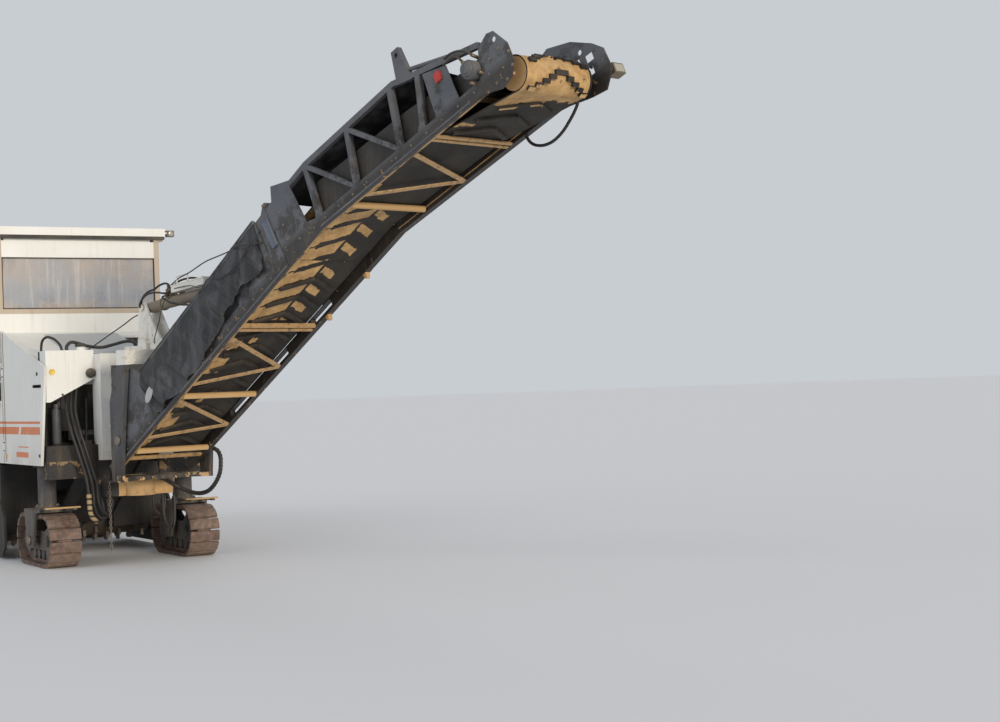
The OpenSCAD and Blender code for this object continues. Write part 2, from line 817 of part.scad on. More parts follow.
module lower_rollers() {
    color(c_tan) at_lower() {
        for (u = [485, 1610]) cross_bar(u, 12, 32, -chord_in, chord_in);
        for (u = [900 : 600 : 3600])
            roller(u, carry_v - roller_r - seat, roller_r, belt_half, side_in);
        roller(tail_drum_u, (carry_v + return_v) / 2, (carry_v - return_v) / 2 - seat,
            belt_half, side_in);
    }
}

// Cover hung over the right-hand wall from a tube along its top
module tarp() {
    rise = atan2(wall_h - wall_low, lower_l - wall_u);
    tube_r = 22;
    end_u = lower_l - 240;
    color(c_dark) at_lower() {
        side_profile(-frame_half - 16, -frame_half - 1) polygon([[1080, 60], [1050, 300],
            [1090, 500], [wall_u, wall_at(wall_u) + 8], [end_u, wall_at(end_u) + 8],
            [end_u + 10, 420], [end_u - 70, 180], [3331, 242], [2973, 185], [2386, 63],
            [2080, 41], [1676, 10]]);
        translate([wall_u + 30, -frame_half + 4, wall_at(wall_u + 30) + tube_r + 2 * seat])
            rotate([0, 90 - rise, 0]) cylinder(r = tube_r, h = end_u - wall_u - 30);
    }
}

// Upper conveyor section: fold plates, bent chords, posts, diagonals, skirts and head plates
module upper_frame() {
    top_v = wall_h + 15;
    apex_u = head_l - 1300;
    plate_u = head_l - 900;
    color(c_slate) {
        at_lower() both() {
            side_profile(side_in - 46, side_in - 26) difference() {
                fold_lug([[fold_u + 14, fold_v - 32], [fold_u + 34, fold_v + 12],
                    [fold_u + 124, wall_h], [fold_u + 124, wall_h - 40],
                    [fold_u + 44, wall_h - 10]]);
                translate([fold_u, fold_v]) circle(r = fold_pin_r + 2);
            }
            side_profile(frame_half - fin_t, frame_half) polygon([[lower_l + 120, wall_h - 5],
                [lower_l + 195, wall_h + 135], [lower_l + 265, wall_h + 100],
                [lower_l + 480, wall_h - 5]]);
        }
        at_upper() {
            both() {
                side_profile(side_in, frame_half) polygon([low_pt(-bend_l, 0), [0, 0],
                    [0, chord_h], low_pt(-130, chord_h + 60), low_pt(-160, wall_h - 50),
                    [0, wall_h - 50], [40, top_v], low_pt(-bend_l, wall_h)]);
                side_profile(chord_in, side_in) polygon([low_pt(-bend_l, 0), [0, 0],
                    [0, chord_h], low_pt(-bend_l, chord_h)]);
                side_profile(side_in - 46, side_in) polygon([low_pt(20 - bend_l, wall_h - 50),
                    [0, wall_h - 50], [40, top_v], low_pt(20 - bend_l, wall_h)]);
                block(0, head_l - 200, chord_in, frame_half, 0, chord_h);
                side_profile(skirt_in, chord_in)
                    polygon([[0, 40], [head_l - 330, 40], [head_l - 330, 330], [apex_u, 420],
                        [0, 470]]);
                side_profile(frame_half - 50, frame_half) {
                    polygon([[-20, top_v - 60], [40, top_v], [apex_u, 725],
                        [head_l - 170, 440], [head_l - 170, 385], [apex_u, 670]]);
                    strut([30, 100], [30, wall_h - 10], 60);
                    strut([642, 100], [747, 690], 60);
                    strut([1345, 100], [1443, 700], 60);
                    strut([1686, 100], [1832, 600], 60);
                    strut([30, wall_h - 20], [642, 110], 45);
                    strut([747, 660], [1345, 110], 45);
                    difference() {
                        polygon([[1560, 650], [1610, 960], [1710, 960], [1760, 600]]);
                        translate([1660, 900]) circle(r = eye_r);
                    }
                }
                side_profile(frame_half - 10, frame_half) polygon([[plate_u, chord_h],
                    [plate_u, 560], [plate_u + 300, 470], [plate_u + 330, chord_h]]);
            }
            mirror([0, 1, 0]) head_plate() polygon([[head_l - 320, 0], [head_l - 180, 380],
                [head_l - 40, 440], [head_l + 40, 420], [head_l + 150, 240], [head_l + 160, 60],
                [head_l + 80, -50], [head_l - 60, -88]]);
            head_plate() difference() {
                polygon([[head_l - 360, 0], [head_l - 450, 560], [head_l - 320, 600],
                    [head_l - 40, 500], [head_l + 180, 350], [head_l + 285, 240],
                    [head_l + 305, 20], [head_l + 170, -120], [head_l - 20, -90]]);
                for (w = [[-100, 230, 90], [60, 210, 90], [40, 90, 70]])
                    translate([head_l + w[0], w[1]]) square([w[2], 75]);
            }
            block(head_l - 390, head_l - 200, 50 - frame_half, -chord_in + 60, 130, 330);
            for (u = [1690, 1750]) block(u, u + 30, -chord_in, chord_in, 0, 20);
            block(head_l - 420, head_l - 360, -chord_in, chord_in, 60, 110);
            for (d = [[676, 1050, 0], [1443, 1050, 2]])
                brace([d[0], -chord_in], [d[1], chord_in], 50, d[2], 14 - d[2]);
        }
    }
}

// Plate beside the head drum with the eye for the lifting sling
module head_plate() {
    side_profile(frame_half - 12, frame_half) difference() {
        children();
        translate([head_l + 20, 350]) circle(r = eye_r);
    }
}

module upper_belt() {
    color(c_belt) {
        at_upper() {
            side_profile(-belt_half, belt_half) {
                polygon([low_pt(-bend_l, carry_v), bent(carry_v), [head_l, head_carry_v],
                    [head_l, head_carry_v + belt_t], bent(carry_v + belt_t),
                    low_pt(-bend_l, carry_v + belt_t)]);
                polygon([low_pt(-bend_l, return_v), bent(return_v), [dip_u, dip_v + belt_t],
                    [head_l, head_v - head_r], [head_l, head_v - head_r - belt_t],
                    [dip_u, dip_v], bent(return_v - belt_t), low_pt(-bend_l, return_v - belt_t)]);
                difference() {
                    translate([head_l, head_v]) circle(r = wrap_r + belt_t);
                    translate([head_l, head_v]) circle(r = wrap_r);
                    translate([head_l - 2 * head_r, -2 * head_r]) square([2 * head_r, 4 * head_r]);
                }
            }
            for (u = [200 : cleat_pitch : head_l - 300])
                cleat(u, carry_at(u) + belt_t - 1, false, carry_fall);
            for (u = [dip_u + 320 : cleat_pitch : head_l - 180])
                cleat(u, dip_v + 1 - (u - dip_u) * tan(return_fall), true, return_fall);
            for (a = [20, 106], s = [-1, 1], j = [0 : 4])
                translate([head_l, 0, head_v]) rotate([0, a + 14 * j, 0])
                    translate([-cleat_w / 2, s * (36 + 70 * j) - 38, wrap_r + belt_t - 1])
                    cube([cleat_w, 76, cleat_h]);
        }
    }
}

module upper_rollers() {
    color(c_tan) at_upper() {
        cross_bar(430, 34, 32, -skirt_in, skirt_in);
        for (u = [400 : 600 : 2200])
            roller(u, carry_at(u) - roller_r - 2 * seat, roller_r, belt_half, skirt_in);
        roller(head_l, head_v, wrap_r - seat, belt_half, frame_half - 12);
    }
}

// Lamp box outside the left head plate, and a square marker lamp on each side
module work_lamps() {
    color(c_dark) at_upper() {
        block(head_l + 190, head_l + 250, frame_half, frame_half + 60, 40, 80);
        block(head_l + 170, head_l + 270, frame_half + 60, frame_half + 200, 10, 110);
        both() block(head_l - 760, head_l - 680, frame_half, frame_half + 20, 380, 470);
    }
}

// Turns a route of points into one closed tube: a ring of corners across each point's run
function ahead_of(route, i) =
    let (a = route[max(i - 1, 0)], b = route[min(i + 1, len(route) - 1)]) (b - a) / norm(b - a);
function ring(p, d, r, n) =
    let (side = cross(d, abs(d[1]) < 0.9 ? [0, 1, 0] : [1, 0, 0]), u = side / norm(side),
         w = cross(d, u))
    [for (k = [0 : n - 1]) p + r * (cos(360 * k / n) * u + sin(360 * k / n) * w)];

module hose(route, r, n = 8) {
    last = len(route) - 1;
    polyhedron(
        points = [for (i = [0 : last]) each ring(route[i], ahead_of(route, i), r, n)],
        faces = concat([[for (k = [0 : n - 1]) k]],
            [for (i = [0 : last - 1], k = [0 : n - 1])
                [i * n + k, (i + 1) * n + k, (i + 1) * n + (k + 1) % n, i * n + (k + 1) % n]],
            [[for (k = [n - 1 : -1 : 0]) last * n + k]]));
}

// Hoses in front of the frame, from the tanks down to the front beams
module hoses() {
    color(c_dark) {
        hose(tank_hose, 17);
        hose(frame_hose, 26);
        hose(beam_hose, 22);
    }
}

chassis();
portal();
drum_housing();
milling_drum();
scraper_door();
side_plate_right();
side_plate_left();
primary_conveyor();
primary_belt();
place_fr() leg();  // leg_fr
place_fr() track_loop();  // track_fr
place_fl() leg();  // leg_fl
place_fl() track_loop();  // track_fl
place_rr() leg();  // leg_rr
place_rr() track_loop();  // track_rr
place_rl() leg();  // leg_rl
place_rl() track_loop();  // track_rl
nose();
front_tanks();
door_right();
door_left();
platform();
canopy_posts();
canopy_roof();
windscreen();
consoles();
seats();
ladders();
engine_block();
engine_bay();
engine_hood();
radiator_grille();
exhaust();
slew_frame();
lift_barrel();
lift_rod();
lower_frame();
lower_belt();
lower_rollers();
tarp();
upper_frame();
upper_belt();
upper_rollers();
work_lamps();
hoses();
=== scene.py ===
"""Looks of a cold planer: a road milling machine on four tracks with a slewing conveyor."""

import math

import bmesh
import bpy
from mathutils import Matrix, Vector, noise


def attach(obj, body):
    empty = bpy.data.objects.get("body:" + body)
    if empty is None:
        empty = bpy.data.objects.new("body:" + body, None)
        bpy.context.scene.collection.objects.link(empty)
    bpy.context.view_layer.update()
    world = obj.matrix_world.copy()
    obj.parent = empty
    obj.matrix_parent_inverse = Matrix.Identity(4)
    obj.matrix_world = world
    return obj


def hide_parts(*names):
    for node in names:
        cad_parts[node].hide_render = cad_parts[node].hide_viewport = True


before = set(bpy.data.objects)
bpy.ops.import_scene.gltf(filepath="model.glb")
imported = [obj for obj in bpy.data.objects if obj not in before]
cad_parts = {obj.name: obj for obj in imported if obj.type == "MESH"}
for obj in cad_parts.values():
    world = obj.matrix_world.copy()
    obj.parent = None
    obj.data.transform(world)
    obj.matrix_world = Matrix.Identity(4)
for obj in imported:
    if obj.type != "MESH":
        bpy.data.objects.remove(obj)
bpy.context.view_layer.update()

# Camera: it stood ahead of the machine and to its right, at eye height and almost level,
# with a lens that is a little longer than a normal one.
scene = bpy.context.scene
photo_lens = bpy.data.cameras.new("photo_lens")
photo_lens.lens = 61.2
photo_lens.sensor_width = 36.0
photo_lens.clip_end = 400.0
viewer = bpy.data.objects.new("viewer", photo_lens)
scene.collection.objects.link(viewer)
aim = Matrix(((0.51505, 0.85641, -0.03582), (0.03045, 0.02348, 0.99926),
    (0.85662, -0.51576, -0.01399),)).transposed()
viewer.matrix_world = Matrix.Translation((21.778, -6.524, 1.918)) @ aim.to_4x4()
scene.camera = viewer

# Light and floor: a pale floor under an even sky, with one broad warm lamp low ahead of the
# machine, a weak one at its right and another behind it, all far enough off to light evenly.
scene.view_settings.view_transform = "Standard"
sky = bpy.data.worlds.new("sky")
scene.world = sky
sky.use_nodes = True
wires = sky.node_tree
wires.nodes.clear()
seen = wires.nodes.new("ShaderNodeLightPath")
lit = wires.nodes.new("ShaderNodeBackground")
lit.inputs["Color"].default_value = (0.84, 0.90, 1.0, 1)
lit.inputs["Strength"].default_value = 0.48
shown = wires.nodes.new("ShaderNodeBackground")
shown.inputs["Color"].default_value = (0.58, 0.61, 0.64, 1)
shown.inputs["Strength"].default_value = 1.0
either = wires.nodes.new("ShaderNodeMath")
either.operation = "MAXIMUM"
blend = wires.nodes.new("ShaderNodeMixShader")
ends = wires.nodes.new("ShaderNodeOutputWorld")
wires.links.new(seen.outputs["Is Camera Ray"], either.inputs[0])
wires.links.new(seen.outputs["Is Transmission Ray"], either.inputs[1])
wires.links.new(either.outputs[0], blend.inputs[0])
wires.links.new(lit.outputs[0], blend.inputs[1])
wires.links.new(shown.outputs[0], blend.inputs[2])
wires.links.new(blend.outputs[0], ends.inputs[0])


def sun(name, towards, spread, power, colour):
    light = bpy.data.lights.new(name, "SUN")
    light.angle = math.radians(spread)
    light.energy = power
    light.color = colour
    holder = bpy.data.objects.new(name, light)
    scene.collection.objects.link(holder)
    holder.rotation_euler = Vector(towards).to_track_quat("Z", "Y").to_euler()


sun("low_key", (0.96, 0.06, 0.22), 16, 1.95, (1.0, 0.91, 0.77))
sun("side_fill", (0.25, -1.0, 0.40), 60, 0.85, (0.92, 0.96, 1.0))
sun("rear_rim", (-0.8, 0.5, 0.6), 40, 0.35, (0.95, 0.97, 1.0))

bpy.ops.object.select_all(action="DESELECT")
bpy.ops.mesh.primitive_plane_add(size=700, location=(0, 0, 0))
floor = bpy.context.object
floor.name = "floor"
ground = bpy.data.materials.new("pale_floor")
ground.use_nodes = True
ground.node_tree.nodes["Principled BSDF"].inputs["Base Color"].default_value = (0.80, 0.79, 0.78, 1)
ground.node_tree.nodes["Principled BSDF"].inputs["Roughness"].default_value = 0.95
ground.node_tree.nodes["Principled BSDF"].inputs["Specular IOR Level"].default_value = 0.1
floor.data.materials.append(ground)

# Hoses and cables: rubber hydraulic hoses in loose arcs, and thin electric cables beside them.
# All run from one fitting on the machine to another.
SLEW = Matrix.Translation((2.8, 0, 0)) @ Matrix.Rotation(math.radians(12.7), 4, "Z")
LOWER = SLEW @ Matrix.Translation((0.293, 0, 1.065)) @ Matrix.Rotation(math.radians(-31.5), 4, "Y")
FOLD_RUN = 4.6
UPPER = SLEW @ Matrix.Translation((0.293 + FOLD_RUN * math.cos(math.radians(31.5)), 0,
                                   1.065 + FOLD_RUN * math.sin(math.radians(31.5)))) \
    @ Matrix.Rotation(math.radians(-22.2), 4, "Y")
BARREL = SLEW @ Matrix.Translation((0.334, 0, 2.937)) @ Matrix.Rotation(math.radians(-5.12), 4, "Y")


def smooth_line(points, gap=0.02):
    """Points close together on a smooth curve through the route's own points"""
    route = [Vector(p) for p in points]
    line = []
    last = len(route) - 1
    for i in range(last):
        a, b, c, d = route[max(i - 1, 0)], route[i], route[i + 1], route[min(i + 2, last)]
        steps = max(2, round((c - b).length / gap))
        for k in range(steps):
            s = k / steps
            line.append(0.5 * (2 * b + (c - a) * s + (2 * a - 5 * b + 4 * c - d) * s ** 2
                + (3 * b - a - 3 * c + d) * s ** 3))
    return line + [route[-1]]


hoses = []


def tube(name, line, radius, ribs=0.0):
    """A round tube along the line; with ribs, every other ring of points is wider"""
    curve = bpy.data.curves.new(name, "CURVE")
    curve.dimensions = "3D"
    spline = curve.splines.new("POLY")
    spline.points.add(len(line) - 1)
    for k, (spot, point) in enumerate(zip(spline.points, line)):
        spot.co = (*point, 1)
        spot.radius = 1 + ribs * (k % 2)
    curve.bevel_depth = radius
    curve.bevel_resolution = 3
    curve.use_fill_caps = True
    piece = bpy.data.objects.new(name, curve)
    scene.collection.objects.link(piece)
    bpy.ops.object.select_all(action="DESELECT")
    piece.select_set(True)
    bpy.context.view_layer.objects.active = piece
    bpy.ops.object.convert(target="MESH")
    return bpy.context.object


def hose(name, points, thick, body, place=None, ribs=0.0):
    line = smooth_line([place @ Vector(p) if place else p for p in points])
    piece = tube(name, line, thick / 2 / (1 + ribs / 2), ribs)
    bpy.ops.object.shade_smooth_by_angle(angle=math.radians(50))
    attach(piece, body)
    hoses.append(piece)
    return piece


hose("barrel_hose_top", [(0.47, -0.03, 0.145), (0.47, -0.03, 0.19), (0.43, -0.05, 0.215),
    (0.34, -0.07, 0.205), (0.24, -0.08, 0.175), (0.14, -0.09, 0.165), (0.05, -0.10, 0.13),
    (0.0, -0.105, 0.075), (-0.01, -0.105, 0.02)], 0.024, "barrel", BARREL)
hose("barrel_hose_low", [(0.44, -0.044, 0.10), (0.44, -0.09, 0.10), (0.40, -0.14, 0.115),
    (0.30, -0.155, 0.125), (0.18, -0.155, 0.115), (0.08, -0.15, 0.08), (0.02, -0.145, 0.03),
    (0.0, -0.127, 0.0)], 0.022, "barrel", BARREL)
hose("barrel_hose_rod", [(0.49, 0.03, 0.145), (0.49, 0.03, 0.18), (0.52, 0.06, 0.22), (0.60, 0.10, 0.24),
    (0.72, 0.13, 0.235), (0.84, 0.145, 0.20), (0.96, 0.145, 0.16), (1.08, 0.135, 0.13), (1.20, 0.11, 0.12),
    (1.26, 0.07, 0.12), (1.27, 0.03, 0.10), (1.27, 0.0, 0.055)], 0.024, "barrel", BARREL)
hose("barrel_hose_side", [(0.45, -0.044, 0.075), (0.45, -0.08, 0.07), (0.47, -0.13, 0.05),
    (0.54, -0.15, 0.02), (0.64, -0.15, -0.03), (0.74, -0.145, -0.06), (0.84, -0.12, -0.09),
    (0.94, -0.08, -0.10), (1.00, -0.04, -0.09), (1.03, 0.0, -0.055)], 0.02, "barrel", BARREL)
hose("valve_cable_drop", [(0.82, -0.04, 3.09), (0.815, -0.10, 3.02), (0.79, -0.135, 2.90),
    (0.74, -0.145, 2.76), (0.67, -0.145, 2.64), (0.61, -0.135, 2.55), (0.59, -0.118, 2.52)], 0.010, "slew",
    SLEW)
hose("wall_cable_high", [LOWER.inverted() @ SLEW @ Vector((0.77, -0.04, 3.12)), (1.72, -0.05, 1.470),
    (2.03, -0.10, 1.346), (2.45, -0.20, 1.176), (2.87, -0.33, 0.953), (3.17, -0.45, 0.785),
    (3.32, -0.545, 0.705), (3.42, -0.60, 0.645), (3.56, -0.61, 0.565), (3.70, -0.59, 0.475),
    (3.77, -0.555, 0.445), (3.79, -0.536, 0.44)], 0.014, "lower", LOWER)
hose("wall_cable_slack", [LOWER.inverted() @ BARREL @ Vector((0.66, -0.085, 0.12)), (1.95, -0.12, 1.22),
    (2.20, -0.22, 1.02), (2.48, -0.38, 0.84), (2.68, -0.49, 0.745), (2.80, -0.555, 0.695),
    (2.90, -0.60, 0.62), (3.04, -0.61, 0.53), (3.22, -0.61, 0.47), (3.40, -0.61, 0.455),
    (3.58, -0.60, 0.475), (3.72, -0.575, 0.52), (3.80, -0.545, 0.555), (3.82, -0.536, 0.565)], 0.010,
    "lower", LOWER)
hose("wall_cable", [(3.70, -0.50, 0.66), (3.64, -0.50, 0.70), (3.45, -0.49, 0.735), (3.10, -0.47, 0.74),
    (2.72, -0.46, 0.715), (2.35, -0.47, 0.70), (2.0, -0.49, 0.685), (1.70, -0.51, 0.67),
    (1.45, -0.515, 0.655), (1.34, -0.515, 0.625)], 0.014, "lower", LOWER)
hose("head_hose", [(1.94, 0.50, -0.001), (1.95, 0.50, -0.06), (2.0, 0.50, -0.13), (2.1, 0.50, -0.19),
    (2.22, 0.50, -0.215), (2.35, 0.50, -0.20), (2.46, 0.50, -0.16), (2.56, 0.50, -0.11),
    (2.63, 0.50, -0.06), (2.65, 0.50, -0.001)], 0.03, "upper", UPPER)
hose("slew_hose_outer", [(0.612, 0.604, 1.31), (0.66, 0.63, 1.28), (0.705, 0.635, 1.22), (0.72, 0.63, 1.14),
    (0.70, 0.625, 1.02), (0.62, 0.61, 0.90), (0.50, 0.595, 0.815), (0.36, 0.575, 0.785), (0.22, 0.54, 0.80),
    (0.11, 0.47, 0.85), (0.07, 0.38, 0.91), (0.08, 0.29, 0.96), (0.12, 0.20, 0.991)], 0.05, "slew", SLEW,
    ribs=0.22)
hose("deck_hose_side", [(2.02, -0.87, 2.44), (2.02, -0.87, 2.55), (2.06, -0.86, 2.63), (2.15, -0.83, 2.66),
    (2.27, -0.79, 2.63), (2.37, -0.76, 2.57), (2.41, -0.75, 2.52), (2.415, -0.748, 2.488)], 0.030, "root")
first_hose = hose("deck_hose_front", [(2.42, -0.69, 2.488), (2.42, -0.69, 2.54), (2.42, -0.64, 2.585),
    (2.42, -0.56, 2.575), (2.42, -0.45, 2.54), (2.43, -0.29, 2.52), (2.48, -0.17, 2.545),
    (2.60, -0.07, 2.575), (2.70, -0.02, 2.575), (2.77, 0.0, 2.55), (2.79, 0.0, 2.51)], 0.038, "root")
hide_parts("hoses")
hose("deck_cable", [(2.45, -0.46, 2.488), (2.50, -0.36, 2.56), (2.62, -0.24, 2.66), (2.78, -0.13, 2.76),
    (2.93, -0.075, 2.83), (3.04, -0.045, 2.86)], 0.014, "root", None)
for k, shift in enumerate((0.0, 0.05, 0.10)):
    hose("cavity_hose_%d" % k, [(2.46 + shift / 2, -0.72 + shift, 2.008 + shift / 2),
        (2.58, -0.76 + shift, 1.80), (2.70, -0.75 + shift, 1.56), (2.745, -0.70 + shift, 1.34),
        (2.755, -0.62 + shift, 1.05), (2.755, -0.59 + shift, 0.85 + shift),
        (2.75, -0.58 + shift, 0.66 + shift), (2.72, -0.53 + shift, 0.54 + shift),
        (2.68, -0.45 + shift, 0.50 + shift), (2.63, -0.38 + shift, 0.58 + shift),
        (2.58, -0.38 + shift, 0.76 + shift), (2.545, -0.40 + shift, 0.92), (2.54, -0.40 + shift, 1.018)],
        0.034, "root")
hose("beam_hose_left", [(2.70, 0.30, 0.815), (2.70, 0.305, 0.66), (2.695, 0.32, 0.50), (2.68, 0.36, 0.41),
    (2.65, 0.42, 0.38), (2.63, 0.46, 0.44), (2.615, 0.475, 0.60), (2.59, 0.48, 0.80), (2.55, 0.48, 0.95),
    (2.54, 0.48, 1.018)], 0.034, "root")
hose("beam_hose_short", [(2.66, 0.20, 0.815), (2.66, 0.20, 0.72), (2.65, 0.22, 0.62), (2.63, 0.27, 0.555),
    (2.60, 0.33, 0.56), (2.575, 0.37, 0.64), (2.56, 0.38, 0.78), (2.545, 0.38, 0.92), (2.54, 0.38, 1.018)],
    0.030, "root")

# Main frame: welded black rails, column sleeves and bearers, dusty from the milling. Its
# section brings the dust film, the run marks and the paint wear that all finishes use.
SIDES = ((-1, "right"), (1, "left"))
TAN = (0.52, 0.315, 0.13)
# Near black, for black dirt and black parts, and also for painted shade in hollows and under the conveyor's
# chords.
BLACK_DIRT_AND_SHADE = (0.016, 0.013, 0.011)


def put(tree, kind, wires=None, **settings):
    node = tree.nodes.new("ShaderNode" + kind)
    for key, value in settings.items():
        setattr(node, key, value)
    for socket, source in (wires or {}).items():
        if isinstance(source, bpy.types.NodeSocket):
            tree.links.new(source, node.inputs[socket])
        else:
            node.inputs[socket].default_value = source
    return node


def new_group(name, inputs, outputs):
    tree = bpy.data.node_groups.new(name, "ShaderNodeTree")
    for label, kind, value in inputs:
        socket = tree.interface.new_socket(name=label, in_out="INPUT", socket_type="NodeSocket" + kind)
        socket.default_value = value
    for label, kind in outputs:
        tree.interface.new_socket(name=label, in_out="OUTPUT", socket_type="NodeSocket" + kind)
    return tree, tree.nodes.new("NodeGroupInput").outputs, tree.nodes.new("NodeGroupOutput").inputs


def reckon(step, *values):
    """One step of arithmetic, in the tree of the value that varies over the surface"""
    tree = next(value.id_data for value in values if isinstance(value, bpy.types.NodeSocket))
    return put(tree, "Math", dict(enumerate(values)), operation=step).outputs[0]


def over(value, low):
    return reckon("GREATER_THAN", value, low)


def under(value, high):
    return reckon("LESS_THAN", value, high)


def product(a, b):
    return reckon("MULTIPLY", a, b)


def either_of(a, b):
    return reckon("MAXIMUM", a, b)


def band(value, low, high):
    """1 where value lies between low and high"""
    return product(over(value, low), under(value, high))


def size_of(value):
    return reckon("ABSOLUTE", value)


def raised(value, share, base):
    """The value times its share, on top of the base"""
    return reckon("MULTIPLY_ADD", value, share, base)


def upward(tree):
    return put(tree, "SeparateXYZ", {0: put(tree, "NewGeometry").outputs["Normal"]}).outputs["Z"]


def spread(value, low, high, first=0.0, last=1.0):
    return put(value.id_data, "MapRange", {"Value": value, 1: low, 2: high, 3: first, 4: last}).outputs[0]


def mixed(share, a, b):
    return put(share.id_data, "Mix", {0: share, 6: a, 7: b}, data_type="RGBA").outputs[2]


def cloud(tree, scale, detail=4.0, rough=0.6):
    place = put(tree, "TexCoord").outputs["Object"]
    return put(tree, "TexNoise", {"Vector": place, "Scale": scale, "Detail": detail,
        "Roughness": rough}).outputs["Fac"]


dust_film, given, made = new_group("dust_film", [("Paint", "Color", (0.5, 0.5, 0.5, 1)),
    ("Dust", "Color", (0.6, 0.5, 0.4, 1)), ("On Top", "Float", 0.5), ("Below", "Float", 0.0),
    ("Scale", "Float", 1.0)], [("Color", "Color"), ("Mask", "Float"), ("Height", "Float")],)
t = dust_film
place = put(t, "TexCoord").outputs["Object"]
wide = put(t, "TexNoise", {"Vector": place, "Detail": 5.0, "Roughness": 0.6})
t.links.new(product(given["Scale"], 1.6), wide.inputs["Scale"])
fine = put(t, "TexNoise", {"Vector": place, "Detail": 3.0, "Roughness": 0.7})
t.links.new(product(given["Scale"], 38.0), fine.inputs["Scale"])
tilt = upward(t)
facing_up = spread(tilt, -0.25, 0.9, 0.3, 1.0)
facing_down = spread(tilt, -0.15, -0.75)
patches = spread(wide.outputs["Fac"], 0.36, 0.66)
speck = spread(fine.outputs["Fac"], 0.35, 0.65, 0.55, 1.0)
upper_film = product(product(patches, facing_up), given["On Top"])
under_patches = spread(wide.outputs["Fac"], 0.30, 0.52, 0.35, 1.0)
lower_film = product(product(under_patches, facing_down), given["Below"])
film = put(t, "Math", {0: product(upper_film, speck), 1: lower_film}, operation="MAXIMUM",
    use_clamp=True).outputs[0]
t.links.new(mixed(film, given["Paint"], given["Dust"]), made["Color"])
t.links.new(film, made["Mask"])
t.links.new(reckon("MULTIPLY_ADD", fine.outputs["Fac"], film), made["Height"])

run_marks, given, made = new_group("run_marks", [("Color", "Color", (0.5, 0.5, 0.5, 1)),
    ("Stain", "Color", (0.3, 0.2, 0.1, 1)), ("Amount", "Float", 0.5)],
    [("Color", "Color"), ("Mask", "Float")],)
t = run_marks
place = put(t, "TexCoord").outputs["Object"]
long = put(t, "Mapping", {"Vector": place, "Scale": (7.0, 7.0, 0.45)}).outputs[0]
runs = put(t, "TexNoise", {"Vector": long, "Scale": 2.2, "Detail": 4.0, "Roughness": 0.65})
low_place = put(t, "TexNoise", {"Vector": place, "Scale": 0.7, "Detail": 2.0})
strong = spread(runs.outputs["Fac"], 0.52, 0.74)
where = spread(low_place.outputs["Fac"], 0.38, 0.6, 0.15, 1.0)
tilt = upward(t)
upright = spread(size_of(tilt), 0.4, 0.9, 1.0, 0.0)
streaks = product(product(product(strong, where), upright), given["Amount"])
t.links.new(mixed(streaks, given["Color"], given["Stain"]), made["Color"])
t.links.new(streaks, made["Mask"])

worn_spots, given, made = new_group("worn_spots", [("Color", "Color", (0.5, 0.5, 0.5, 1)),
    ("Bare", "Color", (0.2, 0.1, 0.05, 1)), ("Amount", "Float", 0.5), ("Scale", "Float", 1.0)],
    [("Color", "Color"), ("Mask", "Float")],)
t = worn_spots
place = put(t, "TexCoord").outputs["Object"]
chips = put(t, "TexNoise", {"Vector": place, "Detail": 6.0, "Roughness": 0.75})
t.links.new(product(given["Scale"], 9.0), chips.inputs["Scale"])
gone = product(spread(chips.outputs["Fac"], 0.63, 0.67), given["Amount"])
t.links.new(mixed(gone, given["Color"], given["Bare"]), made["Color"])
t.links.new(gone, made["Mask"])


def finish(name, paint, rough, dust=(0.50, 0.40, 0.27), top=0.5, below=0.0, stain=(0.16, 0.11, 0.07),
        runs=0.0, bare=(0.16, 0.09, 0.05), chips=0.0, scale=1.0, metal=0.0, relief=0.15, pattern=None):
    """A painted or bare surface under its dust, run marks and worn spots"""
    made = bpy.data.materials.new(name)
    made.use_nodes = True
    tree = made.node_tree
    shader = tree.nodes["Principled BSDF"]
    shader.inputs["Metallic"].default_value = metal
    colour = pattern(tree, (*paint, 1)) if pattern else (*paint, 1)
    worn = put(tree, "Group", node_tree=worn_spots)
    if isinstance(colour, bpy.types.NodeSocket):
        tree.links.new(colour, worn.inputs["Color"])
    else:
        worn.inputs["Color"].default_value = colour
    worn.inputs["Bare"].default_value = (*bare, 1)
    worn.inputs["Amount"].default_value = chips
    worn.inputs["Scale"].default_value = scale
    marks = put(tree, "Group", node_tree=run_marks)
    tree.links.new(worn.outputs["Color"], marks.inputs["Color"])
    marks.inputs["Stain"].default_value = (*stain, 1)
    marks.inputs["Amount"].default_value = runs
    film = put(tree, "Group", node_tree=dust_film)
    tree.links.new(marks.outputs["Color"], film.inputs["Paint"])
    film.inputs["Dust"].default_value = (*dust, 1)
    film.inputs["On Top"].default_value = top
    film.inputs["Below"].default_value = below
    film.inputs["Scale"].default_value = scale
    tree.links.new(film.outputs["Color"], shader.inputs["Base Color"])
    dull = put(tree, "MapRange", {"Value": film.outputs["Mask"], 3: rough, 4: 0.92}).outputs[0]
    tree.links.new(dull, shader.inputs["Roughness"])
    bump = put(tree, "Bump", {"Height": film.outputs["Height"], "Strength": relief, "Distance": 0.004})
    tree.links.new(bump.outputs[0], shader.inputs["Normal"])
    return made


def cover(paint, *nodes):
    """Gives CAD nodes their finish"""
    for name in nodes:
        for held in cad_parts[name].material_slots:
            held.material = paint


def place_of(tree):
    return put(tree, "SeparateXYZ", {0: put(tree, "TexCoord").outputs["Object"]}).outputs


def caked_bearer(tree, paint):
    """Tan cake of millings on the bearer under the slewing pivot and on what hangs by it"""
    at = place_of(tree)
    front_side = product(over(at["X"], 2.555), product(under(at["Z"], 0.992), over(at["Y"], -0.25)))
    crumbs = spread(cloud(tree, 16.0, 5.0, 0.7), 0.30, 0.45, 0.5, 1.0)
    beams = product(product(band(at["X"], 2.3, 2.7), under(at["Z"], 1.22)), over(cloud(tree, 7.0), 0.58))
    cake = either_of(product(front_side, crumbs), product(beams, 0.5))
    return mixed(cake, paint, (*TAN, 1))


